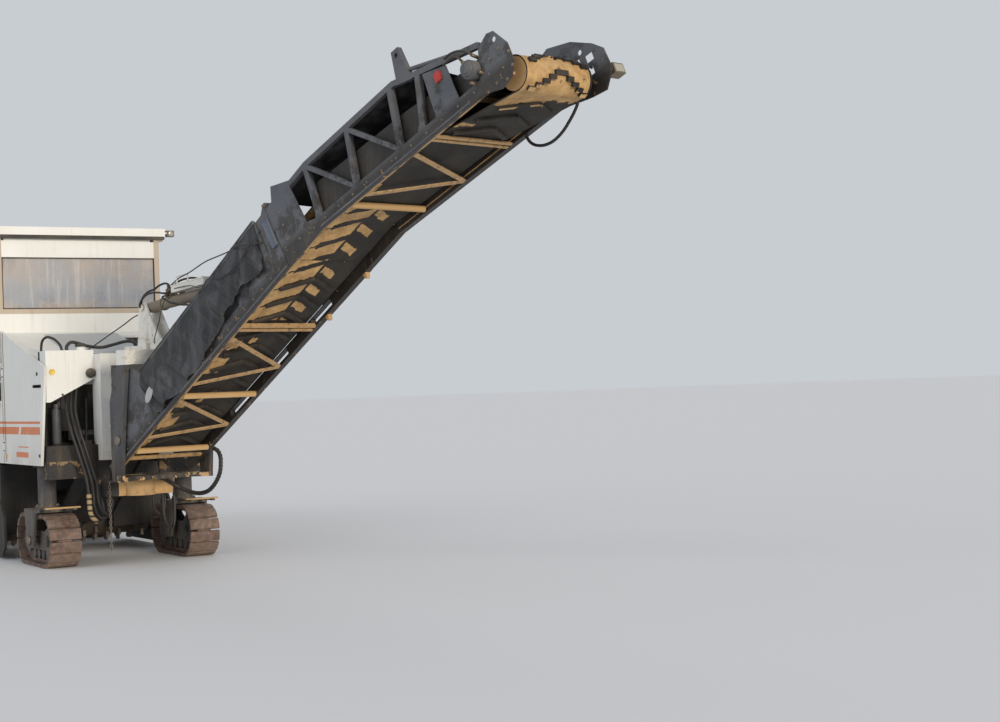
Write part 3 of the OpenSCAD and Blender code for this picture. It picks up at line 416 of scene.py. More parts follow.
black_frame = finish("black_frame", (0.015, 0.014, 0.014), 0.6, dust=(0.20, 0.155, 0.11), top=0.45,
    below=0.05, runs=0.2, chips=0.25)
caked_frame = finish("caked_frame", (0.011, 0.010, 0.010), 0.65, dust=(0.18, 0.135, 0.09), top=0.4,
    below=0.0, runs=0.25, stain=(0.17, 0.115, 0.065), chips=0.3, relief=0.4, pattern=caked_bearer)
cover(caked_frame, "chassis")
cover(black_frame, "drum_housing", "scraper_door", "side_plate_right", "side_plate_left", "ladders",
    "radiator_grille", "exhaust")
hose_rubber = finish("hose_rubber", (0.012, 0.012, 0.013), 0.5, dust=(0.24, 0.18, 0.12), top=0.3,
    below=0.05, scale=2.5, relief=0.2)
for piece in hoses:
    piece.data.materials.append(hose_rubber)
cover(hose_rubber, "hoses")


def begin(name, kind, **how):
    """A primitive to start from, alone, with its place in its mesh, open for editing"""
    bpy.ops.object.select_all(action="DESELECT")
    getattr(bpy.ops.mesh, "primitive_" + kind + "_add")(**how)
    piece = bpy.context.object
    piece.name = name
    piece.data.name = name
    bpy.ops.object.transform_apply(location=True, rotation=True, scale=True)
    bpy.ops.object.mode_set(mode="EDIT")
    bpy.ops.mesh.select_all(action="DESELECT")
    return piece


def begin_box(name, low, high):
    return begin(name, "cube", size=1, location=[(a + b) / 2 for a, b in zip(low, high)],
        scale=[b - a for a, b in zip(low, high)])


ALONG_X = (0, math.pi / 2, 0)
ALONG_Y = (math.pi / 2, 0, 0)


def begin_round(name, sides, radius, depth, middle=(0, 0, 0), turn=(0, 0, 0)):
    return begin(name, "cylinder", vertices=sides, radius=radius, depth=depth, location=middle,
        rotation=turn)


def side_box(name, side, low, high):
    """A box at one side of the machine, with its corners given for the left side"""
    near, far = sorted((side * low[1], side * high[1]))
    return begin_box(name, (low[0], near, low[2]), (high[0], far, high[2]))


def take(piece, test, kind="FACE"):
    """Selects the faces whose middle and normal pass, or the edges by middle and direction"""
    bpy.ops.mesh.select_mode(type=kind)
    bpy.ops.mesh.select_all(action="DESELECT")
    shape = bmesh.from_edit_mesh(piece.data)
    if kind == "FACE":
        for face in shape.faces:
            if test(face.calc_center_median(), face.normal):
                face.select_set(True)
    else:
        for edge in shape.edges:
            a, b = edge.verts[0].co, edge.verts[1].co
            if test((a + b) / 2, (b - a).normalized()):
                edge.select_set(True)
    bmesh.update_edit_mesh(piece.data)


def face(piece, axis, way, edge=0.0, shift=None, pull=None, swell=0.0):
    """Takes the flat faces that look along an axis (way 0 for both), draws them in by edge, then
    shifts them or pulls new ones out of them"""
    k = "xyz".index(axis)
    take(piece, lambda c, n: (n[k] * way if way else abs(n[k])) > 0.9)
    if edge:
        bpy.ops.mesh.inset(thickness=edge)
    if shift:
        bpy.ops.transform.translate(value=shift)
    if pull:
        bpy.ops.mesh.extrude_region_move(TRANSFORM_OT_translate={"value": pull})
    if swell:
        bpy.ops.mesh.extrude_region_shrink_fatten(TRANSFORM_OT_shrink_fatten={"value": swell})


def joined(pieces, name):
    """Makes one piece of several and opens it for editing"""
    bpy.ops.object.select_all(action="DESELECT")
    for piece in pieces:
        piece.select_set(True)
    bpy.context.view_layer.objects.active = pieces[0]
    if len(pieces) > 1:
        bpy.ops.object.join()
    whole = bpy.context.object
    whole.name = name
    whole.data.name = name
    bpy.ops.object.mode_set(mode="EDIT")
    return whole


def done(piece, paint, body, slot, place=None, round_by=0.0, rings=2, sharp=40):
    """Closes the editing, rounds the edges, sets the piece in its place and lets it ride"""
    bpy.ops.object.mode_set(mode="OBJECT")
    if round_by:
        soft = piece.modifiers.new("soft_edges", "BEVEL")
        soft.width = round_by
        soft.segments = rings
        soft.limit_method = "ANGLE"
        soft.angle_limit = math.radians(30)
        bpy.ops.object.modifier_apply(modifier="soft_edges")
    if place:
        piece.data.transform(place)
    piece.data.update()
    bpy.ops.object.shade_smooth_by_angle(angle=math.radians(sharp))
    piece.data.materials.clear()
    piece.data.materials.append(paint)
    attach(piece, body)
    return piece


def bar(name, start, end, radius, paint, body, slot, place=None, sides=14):
    """A round bar with turned ends between two points"""
    a, b = Vector(start), Vector(end)
    reach = (b - a).length
    piece = begin_round(name, sides, radius, reach, (0, 0, reach / 2))
    face(piece, "z", 0, radius * 0.3, swell=radius * 0.08)
    turn = Matrix.Translation(a) @ (b - a).to_track_quat("Z", "Y").to_matrix().to_4x4()
    return done(piece, paint, body, slot, place @ turn if place else turn, radius * 0.12, 1)


def bolts(name, spots, out, size, paint, body, slot, place=None):
    """Hexagon heads on washers: one is modelled, then copied to each spot so that it faces out"""
    head = begin_round(name, 6, size, size * 0.9, (0, 0, size * 0.65))
    face(head, "z", 1, size * 0.22, shift=(0, 0, size * 0.12))
    bpy.ops.mesh.primitive_cylinder_add(vertices=12, radius=size * 1.45, depth=size * 0.24,
        location=(0, 0, size * 0.11))
    bpy.ops.object.mode_set(mode="OBJECT")
    turn = Vector(out).to_track_quat("Z", "Y").to_matrix().to_4x4()
    copies = []
    for spot in spots:
        one = head.copy()
        one.data = head.data.copy()
        one.data.transform(Matrix.Translation(spot) @ turn)
        scene.collection.objects.link(one)
        copies.append(one)
    bpy.data.objects.remove(head)
    return done(joined(copies, name), paint, body, slot, place)


def pipe(name, points, radius, paint, body, slot, place=None, gap=0.03, ribs=0.0):
    """A bent tube or round bar along a route"""
    piece = tube(name, smooth_line(points, gap), radius, ribs)
    bpy.ops.object.mode_set(mode="EDIT")
    return done(piece, paint, body, slot, place)


bolt_steel = finish("bolt_steel", (0.20, 0.17, 0.14), 0.5, top=0.6, metal=0.6, chips=0.5, scale=3.0)
tan_steel = finish("tan_steel", TAN, 0.8, dust=(0.66, 0.45, 0.22), top=0.7, below=0.6, chips=0.5,
    bare=(0.12, 0.06, 0.03), scale=2.0, relief=0.5)
shade_steel = finish("shade_steel", (0.07, 0.08, 0.10), 0.5, top=0.5, runs=0.4, chips=0.4, scale=1.6)

piece = begin_box("bearer_front_plate", (2.786, -0.25, 0.812), (2.80, 0.34, 0.972))
face(piece, "x", 1, 0.03, shift=(0.006, 0, 0))
done(piece, tan_steel, "root", "black_frame", None, 0.004)
bolts("bearer_bolts", [(2.801, y, z) for y in (-0.20, 0.29) for z in (0.84, 0.945)], (1, 0, 0), 0.013,
    tan_steel, "root", "black_frame")
bolts("front_beam_bolts", [(2.571, s * y, z) for s in (-1, 1) for y in (0.52, 0.66, 0.80, 0.92)
    for z in (1.07, 1.35)], (1, 0, 0), 0.014, black_frame, "root", "black_frame")
for side, mark in SIDES:
    piece = begin_round("steering_cylinder_" + mark, 20, 0.052, 0.40, (2.30, side * 0.80, 1.62))
    face(piece, "z", 1, 0.018, pull=(0, 0, 0.06))
    face(piece, "z", -1, 0.015, pull=(0, 0, -0.02))
    done(piece, shade_steel, "root", "slate_paint", None, 0.004)
    bar("cylinder_foot_" + mark, (2.30, side * 0.80, 1.398), (2.30, side * 0.80, 1.41), 0.075, black_frame,
        "root", "black_frame")
    pipe("frame_pipe_" + mark, [(2.52, side * 0.60, 1.401), (2.52, side * 0.60, 1.50),
        (2.49, side * 0.62, 1.62), (2.44, side * 0.66, 1.72), (2.42, side * 0.70, 1.84),
        (2.42, side * 0.72, 1.95)], 0.016, black_frame, "root", "black_frame")
    pipe("frame_pipe_low_" + mark, [(2.50, side * 0.52, 1.401), (2.50, side * 0.52, 1.48),
        (2.46, side * 0.50, 1.58), (2.40, side * 0.48, 1.70), (2.38, side * 0.47, 1.80),
        (2.38, side * 0.47, 1.93)], 0.013, black_frame, "root", "black_frame")

def ringed(tree, paint):
    """Black gaps between the guard's caked rings"""
    turns = product(place_of(tree)["Z"], 15.0)
    ring = reckon("FRACT", turns)
    return mixed(over(ring, 0.62), paint, (*BLACK_DIRT_AND_SHADE, 1))


guard_plastic = finish("guard_plastic", (0.42, 0.30, 0.15), 0.6, dust=(0.16, 0.11, 0.07), top=1.0,
    scale=5.0, relief=0.6, pattern=ringed)
pipe("hose_guard", [(2.755, -0.59, 0.84), (2.75, -0.58, 0.66), (2.735, -0.555, 0.585),
    (2.70, -0.49, 0.515)], 0.026, guard_plastic, "root", "hose_rubber", None, 0.033, 0.2)

# Hanging chain: short welded steel links from a shackle under the front beam, used to hold
# up the scraper's transport hook; the last link hangs free above the ground.
link_line = []
for k in range(23):
    turn = Matrix.Rotation(math.radians(90 * (k % 2)), 4, "Z")
    piece = begin("chain_link", "torus", major_radius=0.012, minor_radius=0.0035, major_segments=16,
        minor_segments=6, rotation=(math.pi / 2, 0, 0))
    bpy.ops.object.mode_set(mode="OBJECT")
    for corner in piece.data.vertices:
        corner.co.z += 0.008 if corner.co.z > 0 else -0.008
    piece.data.transform(Matrix.Translation((2.815, -0.365, 0.945 - 0.0335 * k)) @ turn)
    link_line.append(piece)
done(joined(link_line, "hanging_chain"), bolt_steel, "root", "black_frame")
pipe("chain_shackle", [(2.79, -0.339, 0.965), (2.80, -0.35, 0.968), (2.812, -0.365, 0.965),
    (2.818, -0.372, 0.957)], 0.008, bolt_steel, "root", "black_frame", None, 0.01)

# Track units: cast shoes on a closed chain, a slate painted fork and column, and wheels
# that run dry in the dust. The shoes are rusty where the ground doesn't polish them.
COLUMNS = {"fr": (1.95, -0.835), "fl": (1.95, 0.835), "rr": (-1.95, -0.835), "rl": (-1.95, 0.835)}
SHOES, SHOE_T, LOOP_H, LOOP_L = 24, 0.034, 0.61, 1.40
WHEELS = (-0.395, 0.395)
WHEEL_Z = 0.305


def worn_shoe(tree, paint):
    """Rust-brown patches spread by noise over the shoes"""
    return mixed(spread(cloud(tree, 17.0, 5.0, 0.7), 0.44, 0.66), paint, (0.25, 0.145, 0.10, 1))


track_steel = finish("track_steel", (0.105, 0.068, 0.055), 0.62, dust=(0.36, 0.28, 0.22), top=0.75,
    below=0.45, bare=(0.045, 0.03, 0.025), chips=0.8, scale=2.2, metal=0.2, relief=0.6, pattern=worn_shoe)
cover(track_steel, "track_fr", "track_fl", "track_rr", "track_rl")
unit_paint = finish("unit_paint", (0.040, 0.041, 0.045), 0.6, dust=(0.42, 0.33, 0.23), top=0.75, below=0.3,
    runs=0.6, stain=(0.24, 0.17, 0.11), chips=0.5)
cover(unit_paint, "leg_fr", "leg_fl", "leg_rr", "leg_rl")


def on_loop(way):
    """Place and outward direction on the loop's chain line, way metres along it"""
    r = LOOP_H / 2 - SHOE_T
    half = (LOOP_L - LOOP_H) / 2
    arc = math.pi * r
    if way < 2 * half:
        return (way - half, -r), (0, -1)
    if way < 2 * half + arc:
        a = (way - 2 * half) / r
        return (half + r * math.sin(a), -r * math.cos(a)), (math.sin(a), -math.cos(a))
    if way < 4 * half + arc:
        return (half - (way - 2 * half - arc), r), (0, 1)
    a = (way - 4 * half - arc) / r
    return (-half - r * math.sin(a), r * math.cos(a)), (-math.sin(a), math.cos(a))


for mark, (x, y) in COLUMNS.items():
    body = "unit_" + mark
    side = -1 if y < 0 else 1
    whole = 2 * (LOOP_L - LOOP_H) + 2 * math.pi * (LOOP_H / 2 - SHOE_T)
    heads = []
    for i in range(SHOES):
        (px, pz), (nx, nz) = on_loop((i + 0.5) * whole / SHOES)
        for across in (-0.125, -0.055, 0.055, 0.125):
            head = begin_round("shoe_bolt", 6, 0.011, 0.010)
            face(head, "z", 1, 0.003)
            bpy.ops.object.mode_set(mode="OBJECT")
            turn = Vector((nx, 0, nz)).to_track_quat("Z", "Y").to_matrix().to_4x4()
            foot = Vector((x + px + nx * (SHOE_T - 0.006), y + across, LOOP_H / 2 + pz
                + nz * (SHOE_T - 0.006)))
            head.data.transform(Matrix.Translation(foot) @ turn)
            heads.append(head)
    done(joined(heads, "shoe_bolts_" + mark), track_steel, body, "track_steel")
    for end in WHEELS:
        for way in (-1, 1):
            bar("hub_" + mark + ("_f" if end > 0 else "_r") + ("_out" if way == side else "_in"),
                (x + end, y + way * 0.124, WHEEL_Z), (x + end, y + way * 0.152, WHEEL_Z), 0.062, unit_paint,
                body, "slate_paint", None, 20)
    bolts("hub_bolts_" + mark, [(x + end + 0.045 * math.cos(a), y + side * 0.1525, WHEEL_Z
        + 0.045 * math.sin(a)) for end in WHEELS for a in [k * math.pi / 3 for k in range(6)]],
        (0, side, 0), 0.007, bolt_steel, body, "slate_paint")
    bar("axle_nut_" + mark, (x, y + side * 0.224, WHEEL_Z), (x, y + side * 0.245, WHEEL_Z), 0.058,
        bolt_steel, body, "slate_paint", None, 6)
    front = 1 if x > 0 else -1
    for arm in (-0.13, 0.13):
        piece = begin_box("fender_arm_" + mark + ("_r" if arm < 0 else "_l"),
            (min(x + front * 0.20, x + front * 0.60), y + arm - 0.02, 0.665),
            (max(x + front * 0.20, x + front * 0.60), y + arm + 0.02, 0.685))
        face(piece, "x", front, pull=(front * 0.06, 0, 0.0))
        done(piece, unit_paint, body, "slate_paint", None, 0.003)
    piece = begin_box("fender_bar_" + mark, (x + front * 0.60 - 0.03, y - 0.20, 0.685),
        (x + front * 0.60 + 0.03, y + 0.20, 0.702))
    face(piece, "y", 0, 0.004, swell=0.006)
    done(piece, tan_steel, body, "slate_paint", None, 0.002)
    bolts("column_bolts_" + mark, [(x + 0.122 * math.cos(a), y + 0.122 * math.sin(a), 0.70)
        for a in [k * math.pi / 4 for k in range(8)]], (0, 0, 1), 0.010, bolt_steel, body, "slate_paint")

# Milling drum: forged tool holders welded in helices on a steel tube, scoured bright and
# packed with asphalt dust between them, each with a hard metal point in a round collar.
drum_steel = finish("drum_steel", (0.20, 0.18, 0.16), 0.5, dust=(0.24, 0.19, 0.14), top=0.9, below=0.9,
    chips=0.5, bare=(0.07, 0.05, 0.04), metal=0.7, scale=2.0, relief=0.5)
cover(drum_steel, "milling_drum", "engine_block")

# White body: pressed and welded steel panels in cream enamel with orange stripes along both
# sides. Dust lies on the ledges and has run down with the spray water.
ORANGE = (0.70, 0.165, 0.022, 1)
SKIN = 1.016


def striped(tree, paint):
    at = place_of(tree)
    outside = over(size_of(at["Y"]), 1.012)
    wide_stripe = band(at["Z"], 1.533, 1.622)
    slanted = raised(at["Z"], -0.5, at["X"])
    kept = reckon("SUBTRACT", 1.0, band(slanted, 0.72, 0.80))
    thin = band(at["Z"], 1.658, 1.687)
    short = product(band(at["Z"], 1.262, 1.325), band(at["X"], 1.36, 1.88))
    shorter = product(band(at["Z"], 1.378, 1.392), band(at["X"], 1.45, 1.90))
    stripe = product(either_of(product(wide_stripe, kept), thin), under(at["X"], 2.40))
    whole = either_of(stripe, either_of(short, shorter))
    worn = spread(cloud(tree, 11.0, 5.0, 0.7), 0.30, 0.40, 0.6, 1.0)
    grime = product(spread(at["Z"], 1.75, 1.15), spread(cloud(tree, 1.3), 0.35, 0.75, 0.0, 0.75))
    soiled = mixed(grime, paint, (0.46, 0.42, 0.35, 1))
    return mixed(product(product(whole, outside), worn), soiled, ORANGE)


def hollow_painted_shade(tree, paint):
    """Painted shade: near black on the inner faces of the hollow below the front tanks, above the steering
    gear, where they are low or face down
    """
    at = place_of(tree)
    inner = product(under(size_of(at["Y"]), 0.975), band(at["X"], 1.10, 2.565))
    facing = upward(tree)
    low = either_of(under(at["Z"], 2.10), under(facing, -0.2))
    return mixed(product(inner, low), striped(tree, paint), (*BLACK_DIRT_AND_SHADE, 1))


enamel = dict(paint=(0.79, 0.78, 0.735), rough=0.34, dust=(0.56, 0.48, 0.37), top=0.32, runs=0.35,
    stain=(0.46, 0.37, 0.26), chips=0.10, bare=(0.25, 0.14, 0.08))
white_paint = finish("white_paint", below=0.25, pattern=striped, **enamel)
# The tanks' white carries the painted shade in the hollow below them.
tank_white = finish("tank_white", pattern=hollow_painted_shade, **enamel)
cover(tank_white, "nose", "front_tanks")
cover(white_paint, "portal", "door_right", "door_left", "platform", "engine_bay", "engine_hood")
black_rubber = finish("black_rubber", (0.022, 0.021, 0.020), 0.7, top=0.4, relief=0.2)
yellow_mark = finish("yellow_mark", (0.78, 0.52, 0.06), 0.4, top=0.2, chips=0.2)
seam_rust = finish("seam_rust", (0.20, 0.115, 0.06), 0.8, top=0.3, chips=0.7, bare=(0.42, 0.36, 0.28),
    scale=2.0)

for side, mark in SIDES:
    body = "flap_" + mark
    piece = side_box("door_handle_" + mark, side, (2.16, SKIN, 2.072), (2.48, 1.026, 2.108))
    face(piece, "y", side, 0.007, pull=(0, -side * 0.006, 0))
    done(piece, black_rubber, body, "black_plastic", None, 0.002)
    piece = side_box("door_seam_" + mark, side, (0.894, 1.017, 1.20), (0.908, 1.0235, 2.76))
    face(piece, "y", side, 0.004, shift=(0, -side * 0.002, 0))
    done(piece, seam_rust, body, "white_paint")
    for name, where in (("low", (2.354, 1.292)), ("high", (2.339, 2.232))):
        piece = begin_round("door_plug_" + name + "_" + mark, 16, 0.021, 0.012,
            (where[0], side * 1.022, where[1]), ALONG_Y)
        face(piece, "y", 0, 0.007, swell=-0.003)
        done(piece, black_rubber, body, "black_plastic")
    piece = begin_round("door_mark_" + mark, 20, 0.03, 0.006, (0.955, side * 1.0215, 1.263), ALONG_Y)
    face(piece, "y", 0, 0.006)
    done(piece, yellow_mark, body, "white_paint")
    for k, z in enumerate((1.38, 2.28)):
        bolts("door_hinge_bolts_%s_%d" % (mark, k), [(0.845, side * 1.028, z - 0.05),
            (0.88, side * 1.028, z - 0.05), (0.845, side * 1.028, z + 0.05),
            (0.88, side * 1.028, z + 0.05)], (0, side, 0), 0.007, bolt_steel, body, "white_paint")
    piece = side_box("door_edge_trim_" + mark, side, (2.32, SKIN, 1.196), (2.34, 1.024, 1.216))
    face(piece, "z", 1, pull=(0.200, 0, 0.96))
    done(piece, white_paint, body, "white_paint", None, 0.003)

piece = begin("tank_ball_cap", "uv_sphere", segments=24, ring_count=14, radius=0.056,
    location=(2.60, -0.473, 2.223))
take(piece, lambda c, n: n.x > 0.93)
bpy.ops.mesh.inset(thickness=0.006)
bpy.ops.transform.translate(value=(-0.006, 0, 0))
done(piece, black_rubber, "root", "black_plastic")
bar("tank_cap_neck", (2.5705, -0.473, 2.223), (2.585, -0.473, 2.223), 0.045, black_rubber, "root",
    "black_plastic")
for y, z, r, name in ((-0.914, 2.246, 0.035, "outer"), (-0.80, 1.985, 0.012, "low")):
    piece = begin_round("tank_disc_" + name, 24, r, 0.008, (2.5735, y, z), ALONG_X)
    face(piece, "x", 1, r * 0.25, shift=(-0.003, 0, 0))
    done(piece, yellow_mark if name == "outer" else black_rubber, "root", "white_paint")
for side, mark in SIDES:
    piece = begin_round("tank_lid_" + mark, 28, 0.066, 0.03, (2.47, side * 0.54, 2.545))
    face(piece, "z", 1, 0.02, pull=(0, 0, 0.012))
    done(piece, black_rubber, "root", "black_plastic", None, 0.003)
    piece = side_box("tank_strap_" + mark, side, (2.30, 0.986, 1.95), (2.34, 0.992, 2.47))
    face(piece, "z", 1, pull=(0, 0, 0.015))
    done(piece, black_frame, "root", "black_frame", None, 0.001)
bolts("portal_bolts", [(2.801, s * y, z) for s in (-1, 1) for y in (0.33, 0.395)
    for z in (1.42, 1.60, 1.92, 2.2)], (1, 0, 0), 0.008, white_paint, "root", "white_paint")

# Rear of the body: two round tail lamps in rubber rings, pull handles on the hood, bolts along the
# sides and round the grille, a row of pressed louvres in each side wall beside the engine, and a rim on the
# exhaust.
lamp_red = finish("lamp_red", (0.42, 0.018, 0.014), 0.2, top=0.4, relief=0.1)
for side, mark in SIDES:
    piece = begin_round("tail_lamp_ring_" + mark, 28, 0.062, 0.018, (-4.1715, side * 0.88, 1.86), ALONG_X)
    face(piece, "x", -1, 0.010, pull=(0.005, 0, 0))
    done(piece, black_rubber, "root", "black_plastic", None, 0.002)
    piece = begin_round("tail_lamp_" + mark, 28, 0.050, 0.006, (-4.1785, side * 0.88, 1.86), ALONG_X)
    face(piece, "x", -1, 0.014, shift=(0.002, 0, 0))
    done(piece, lamp_red, "root", "dirty_glass")
    for k in range(9):
        x = -3.55 + 0.16 * k
        piece = side_box("louvre_%s_%d" % (mark, k), side, (x, SKIN, 1.90), (x + 0.09, 1.0235, 2.26))
        face(piece, "y", side, 0.008)
        bpy.ops.transform.rotate(value=0.05 * side, orient_axis="Z",
            center_override=(x + 0.045, side * 1.0235, 2.08))
        done(piece, white_paint, "root", "white_paint", None, 0.002, 1)
    pipe("hood_handle_" + mark, [(-3.70, side * 0.62, 2.838), (-3.70, side * 0.62, 2.875),
        (-3.70, side * 0.615, 2.885), (-3.70, side * 0.455, 2.885), (-3.70, side * 0.45, 2.875),
        (-3.70, side * 0.45, 2.838)], 0.010, black_rubber, "hood", "black_frame", None, 0.01)
    bolts("body_side_bolts_" + mark, [(x, side * 1.0203, z) for x in (-3.95, -3.1, -2.0, -1.2)
        for z in (1.36, 2.50)], (0, side, 0), 0.010, white_paint, "root", "white_paint")
bolts("grille_frame_bolts", [(-4.1805, y, z) for y in (-0.80, 0.80) for z in (1.44, 1.81, 2.18)],
    (-1, 0, 0), 0.010, white_paint, "root", "white_paint")
piece = begin("exhaust_rim", "cylinder", vertices=32, radius=0.0735, depth=0.03, end_fill_type="NOTHING",
    location=(-1.30, 0.70, 3.245))
bpy.ops.mesh.select_all(action="SELECT")
bpy.ops.mesh.solidify(thickness=0.0035)
done(piece, seam_rust, "hood", "black_frame")

# Deck ahead of the platform: a sunken place with pipes and a valve block that feed the hoses of the conveyor,
# and the panel's blue grey face, which is a painted shade under the parapet.
# Blue grey on the sloping deck panel: a painted shade under the parapet, with run marks and stains on it.
deck_painted_shade = finish("deck_painted_shade", (0.52, 0.54, 0.55), 0.5, top=0.35, runs=0.4, stain=(0.40, 0.34, 0.26),
    chips=0.2)
piece = begin_box("deck_panel", (1.93, -0.52, 2.462), (1.97, 0.40, 2.480))
face(piece, "x", -1, pull=(-0.98, 0, 0.263))
face(piece, "z", 1, 0.03, pull=(0, 0, 0.008))
done(piece, deck_painted_shade, "root", "white_paint", None, 0.003)
for k, y in enumerate((0.47, 0.54, 0.61, 0.66)):
    pipe("deck_pipe_%d" % k, [(1.02, y, 2.42), (1.20, y, 2.43 + 0.02 * (k % 2)), (1.40, y, 2.47),
        (1.60, y - 0.01 * k, 2.44), (1.84, y, 2.40)], 0.017, black_rubber, "root", "hose_rubber")
piece = begin_box("deck_valves", (1.50, 0.45, 2.30), (1.66, 0.67, 2.41))
face(piece, "z", 1, 0.02, pull=(0, 0, 0.03))
done(piece, black_frame, "root", "black_frame", None, 0.004)

# Roof and operator's stand: a white slab with a black strip under it, partly a seal and partly a painted
# shadow line under the slab, beige painted posts, a dusty laminated windscreen in a rubber frame, lamps on
# arms at the front corners.
def roof_colours(tree, paint):
    at = place_of(tree)
    lamps = over(size_of(at["Y"]), 1.142)
    shade = mixed(lamps, paint, (0.035, 0.034, 0.032, 1))
    stains = product(product(over(at["X"], 0.84), under(at["Z"], 4.02)),
        spread(cloud(tree, 9.0), 0.45, 0.6, 0.0, 0.5))
    return mixed(stains, shade, (0.30, 0.24, 0.15, 1))


roof_paint = finish("roof_paint", (0.80, 0.79, 0.74), 0.4, dust=(0.58, 0.50, 0.38), top=0.4, runs=0.25,
    stain=(0.50, 0.42, 0.30), chips=0.08, pattern=roof_colours)
cover(roof_paint, "canopy_roof")
beige_paint = finish("beige_paint", (0.50, 0.41, 0.31), 0.5, top=0.4, runs=0.4, stain=(0.32, 0.22, 0.14),
    chips=0.3)
cover(beige_paint, "canopy_posts")
black_plastic = finish("black_plastic", (0.03, 0.03, 0.032), 0.55, top=0.5, relief=0.3)
cover(black_plastic, "consoles")

# The black strip under the roof: partly a seal, partly a painted shadow line under the slab.
piece = begin_box("roof_seal_and_shadow_strip", (-1.04, -1.108, 3.940), (0.836, 1.108, 3.9797))
face(piece, "z", -1, 0.05, pull=(0, 0, 0.010))
done(piece, black_rubber, "root", "black_plastic")
lamp_glass = finish("lamp_glass", (0.40, 0.37, 0.30), 0.12, top=0.3, relief=0.5, scale=3.0)
for side, mark in SIDES:
    piece = begin_round("roof_lamp_lens_" + mark, 28, 0.034, 0.012, (0.842, side * 1.1925, 4.02), ALONG_X)
    face(piece, "x", 1, 0.005, pull=(-0.004, 0, 0))
    bpy.ops.mesh.inset(thickness=0.012)
    bpy.ops.transform.translate(value=(0.003, 0, 0))
    done(piece, lamp_glass, "root", "dirty_glass")


def smeared(tree, paint):
    """Brown mud wiped over the upper part of the pane and dust settled along its foot"""
    at = place_of(tree)
    upper_mud = product(spread(at["Z"], 3.20, 3.66), spread(cloud(tree, 2.4, 6.0, 0.7), 0.34, 0.62))
    foot = product(spread(at["Z"], 3.22, 3.07), spread(cloud(tree, 3.5), 0.35, 0.6))
    drops = spread(cloud(tree, 26.0, 2.0, 0.5), 0.68, 0.72)
    grime = either_of(either_of(upper_mud, foot), product(drops, 0.6))
    return mixed(product(grime, 0.9), paint, (0.47, 0.36, 0.26, 1))


dirty_glass = finish("dirty_glass", (0.285, 0.305, 0.345), 0.2, dust=(0.50, 0.48, 0.47), top=0.9, runs=0.9,
    stain=(0.60, 0.56, 0.52), relief=0.05, pattern=smeared)
pane = dirty_glass.node_tree
clear_part = spread(cloud(pane, 1.8, 3.0, 0.5), 0.35, 0.7, 0.70, 0.95)
pane.links.new(clear_part, pane.nodes["Principled BSDF"].inputs["Alpha"])
cover(dirty_glass, "windscreen")
for name, low, high in (("top", (0.776, -0.974, 3.690), (0.792, 0.974, 3.7035)),
    ("foot", (0.776, -0.974, 3.0625), (0.792, 0.974, 3.076)), ("right", (0.776, -0.974, 3.0625),
    (0.792, -0.962, 3.7035)), ("left", (0.776, 0.962, 3.0625), (0.792, 0.974, 3.7035))):
    piece = begin_box("glass_seal_" + name, low, high)
    face(piece, "x", 1, 0.003, shift=(-0.002, 0, 0))
    done(piece, black_rubber, "root", "black_plastic")

# Operator's places: two sprung seats with vinyl cushions over a moulded shell, and a desk at
# each side with a screen, switches and a lever. The cushions are foam in stitched covers.
seat_vinyl = finish("seat_vinyl", (0.028, 0.028, 0.031), 0.48, dust=(0.30, 0.26, 0.20), top=0.55, scale=3.0,
    relief=0.5)


def cushion(name, low, high, seams, crown_axis, body="root"):
    """A crowned pad with pulled-in edges and sewn channels across it"""
    piece = begin_box(name, low, high)
    bpy.ops.mesh.select_all(action="SELECT")
    bpy.ops.mesh.subdivide(number_cuts=15)
    bpy.ops.object.mode_set(mode="OBJECT")
    middle = [(a + b) / 2 for a, b in zip(low, high)]
    half = [(b - a) / 2 for a, b in zip(low, high)]
    flat = [k for k in range(3) if k != crown_axis]
    for corner in piece.data.vertices:
        s, t = [(corner.co[k] - middle[k]) / half[k] for k in flat]
        w = (corner.co[crown_axis] - middle[crown_axis]) / half[crown_axis]
        crown = (1 - abs(s) ** 4) * (1 - abs(t) ** 4)
        channel = 0.10 * max(0.0, 1 - min(abs(t - c) for c in seams) / 0.10) ** 2
        if abs(s) < 0.999 and abs(t) < 0.999:
            height = 0.74 + 0.26 * crown - channel
            corner.co[crown_axis] = middle[crown_axis] + w * half[crown_axis] * height
        else:
            corner.co[crown_axis] = middle[crown_axis] + w * half[crown_axis] * 0.70
            for k, v in zip(flat, (s, t)):
                corner.co[k] = middle[k] + v * half[k] * (0.985 + 0.015 * (1 - w * w))
    soft = piece.modifiers.new("foam", "SUBSURF")
    soft.levels = 1
    soft.render_levels = 1
    bpy.ops.object.modifier_apply(modifier="foam")
    bpy.ops.object.mode_set(mode="EDIT")
    done(piece, seat_vinyl, body, "black_plastic", None, 0, 0, 60)
    return piece


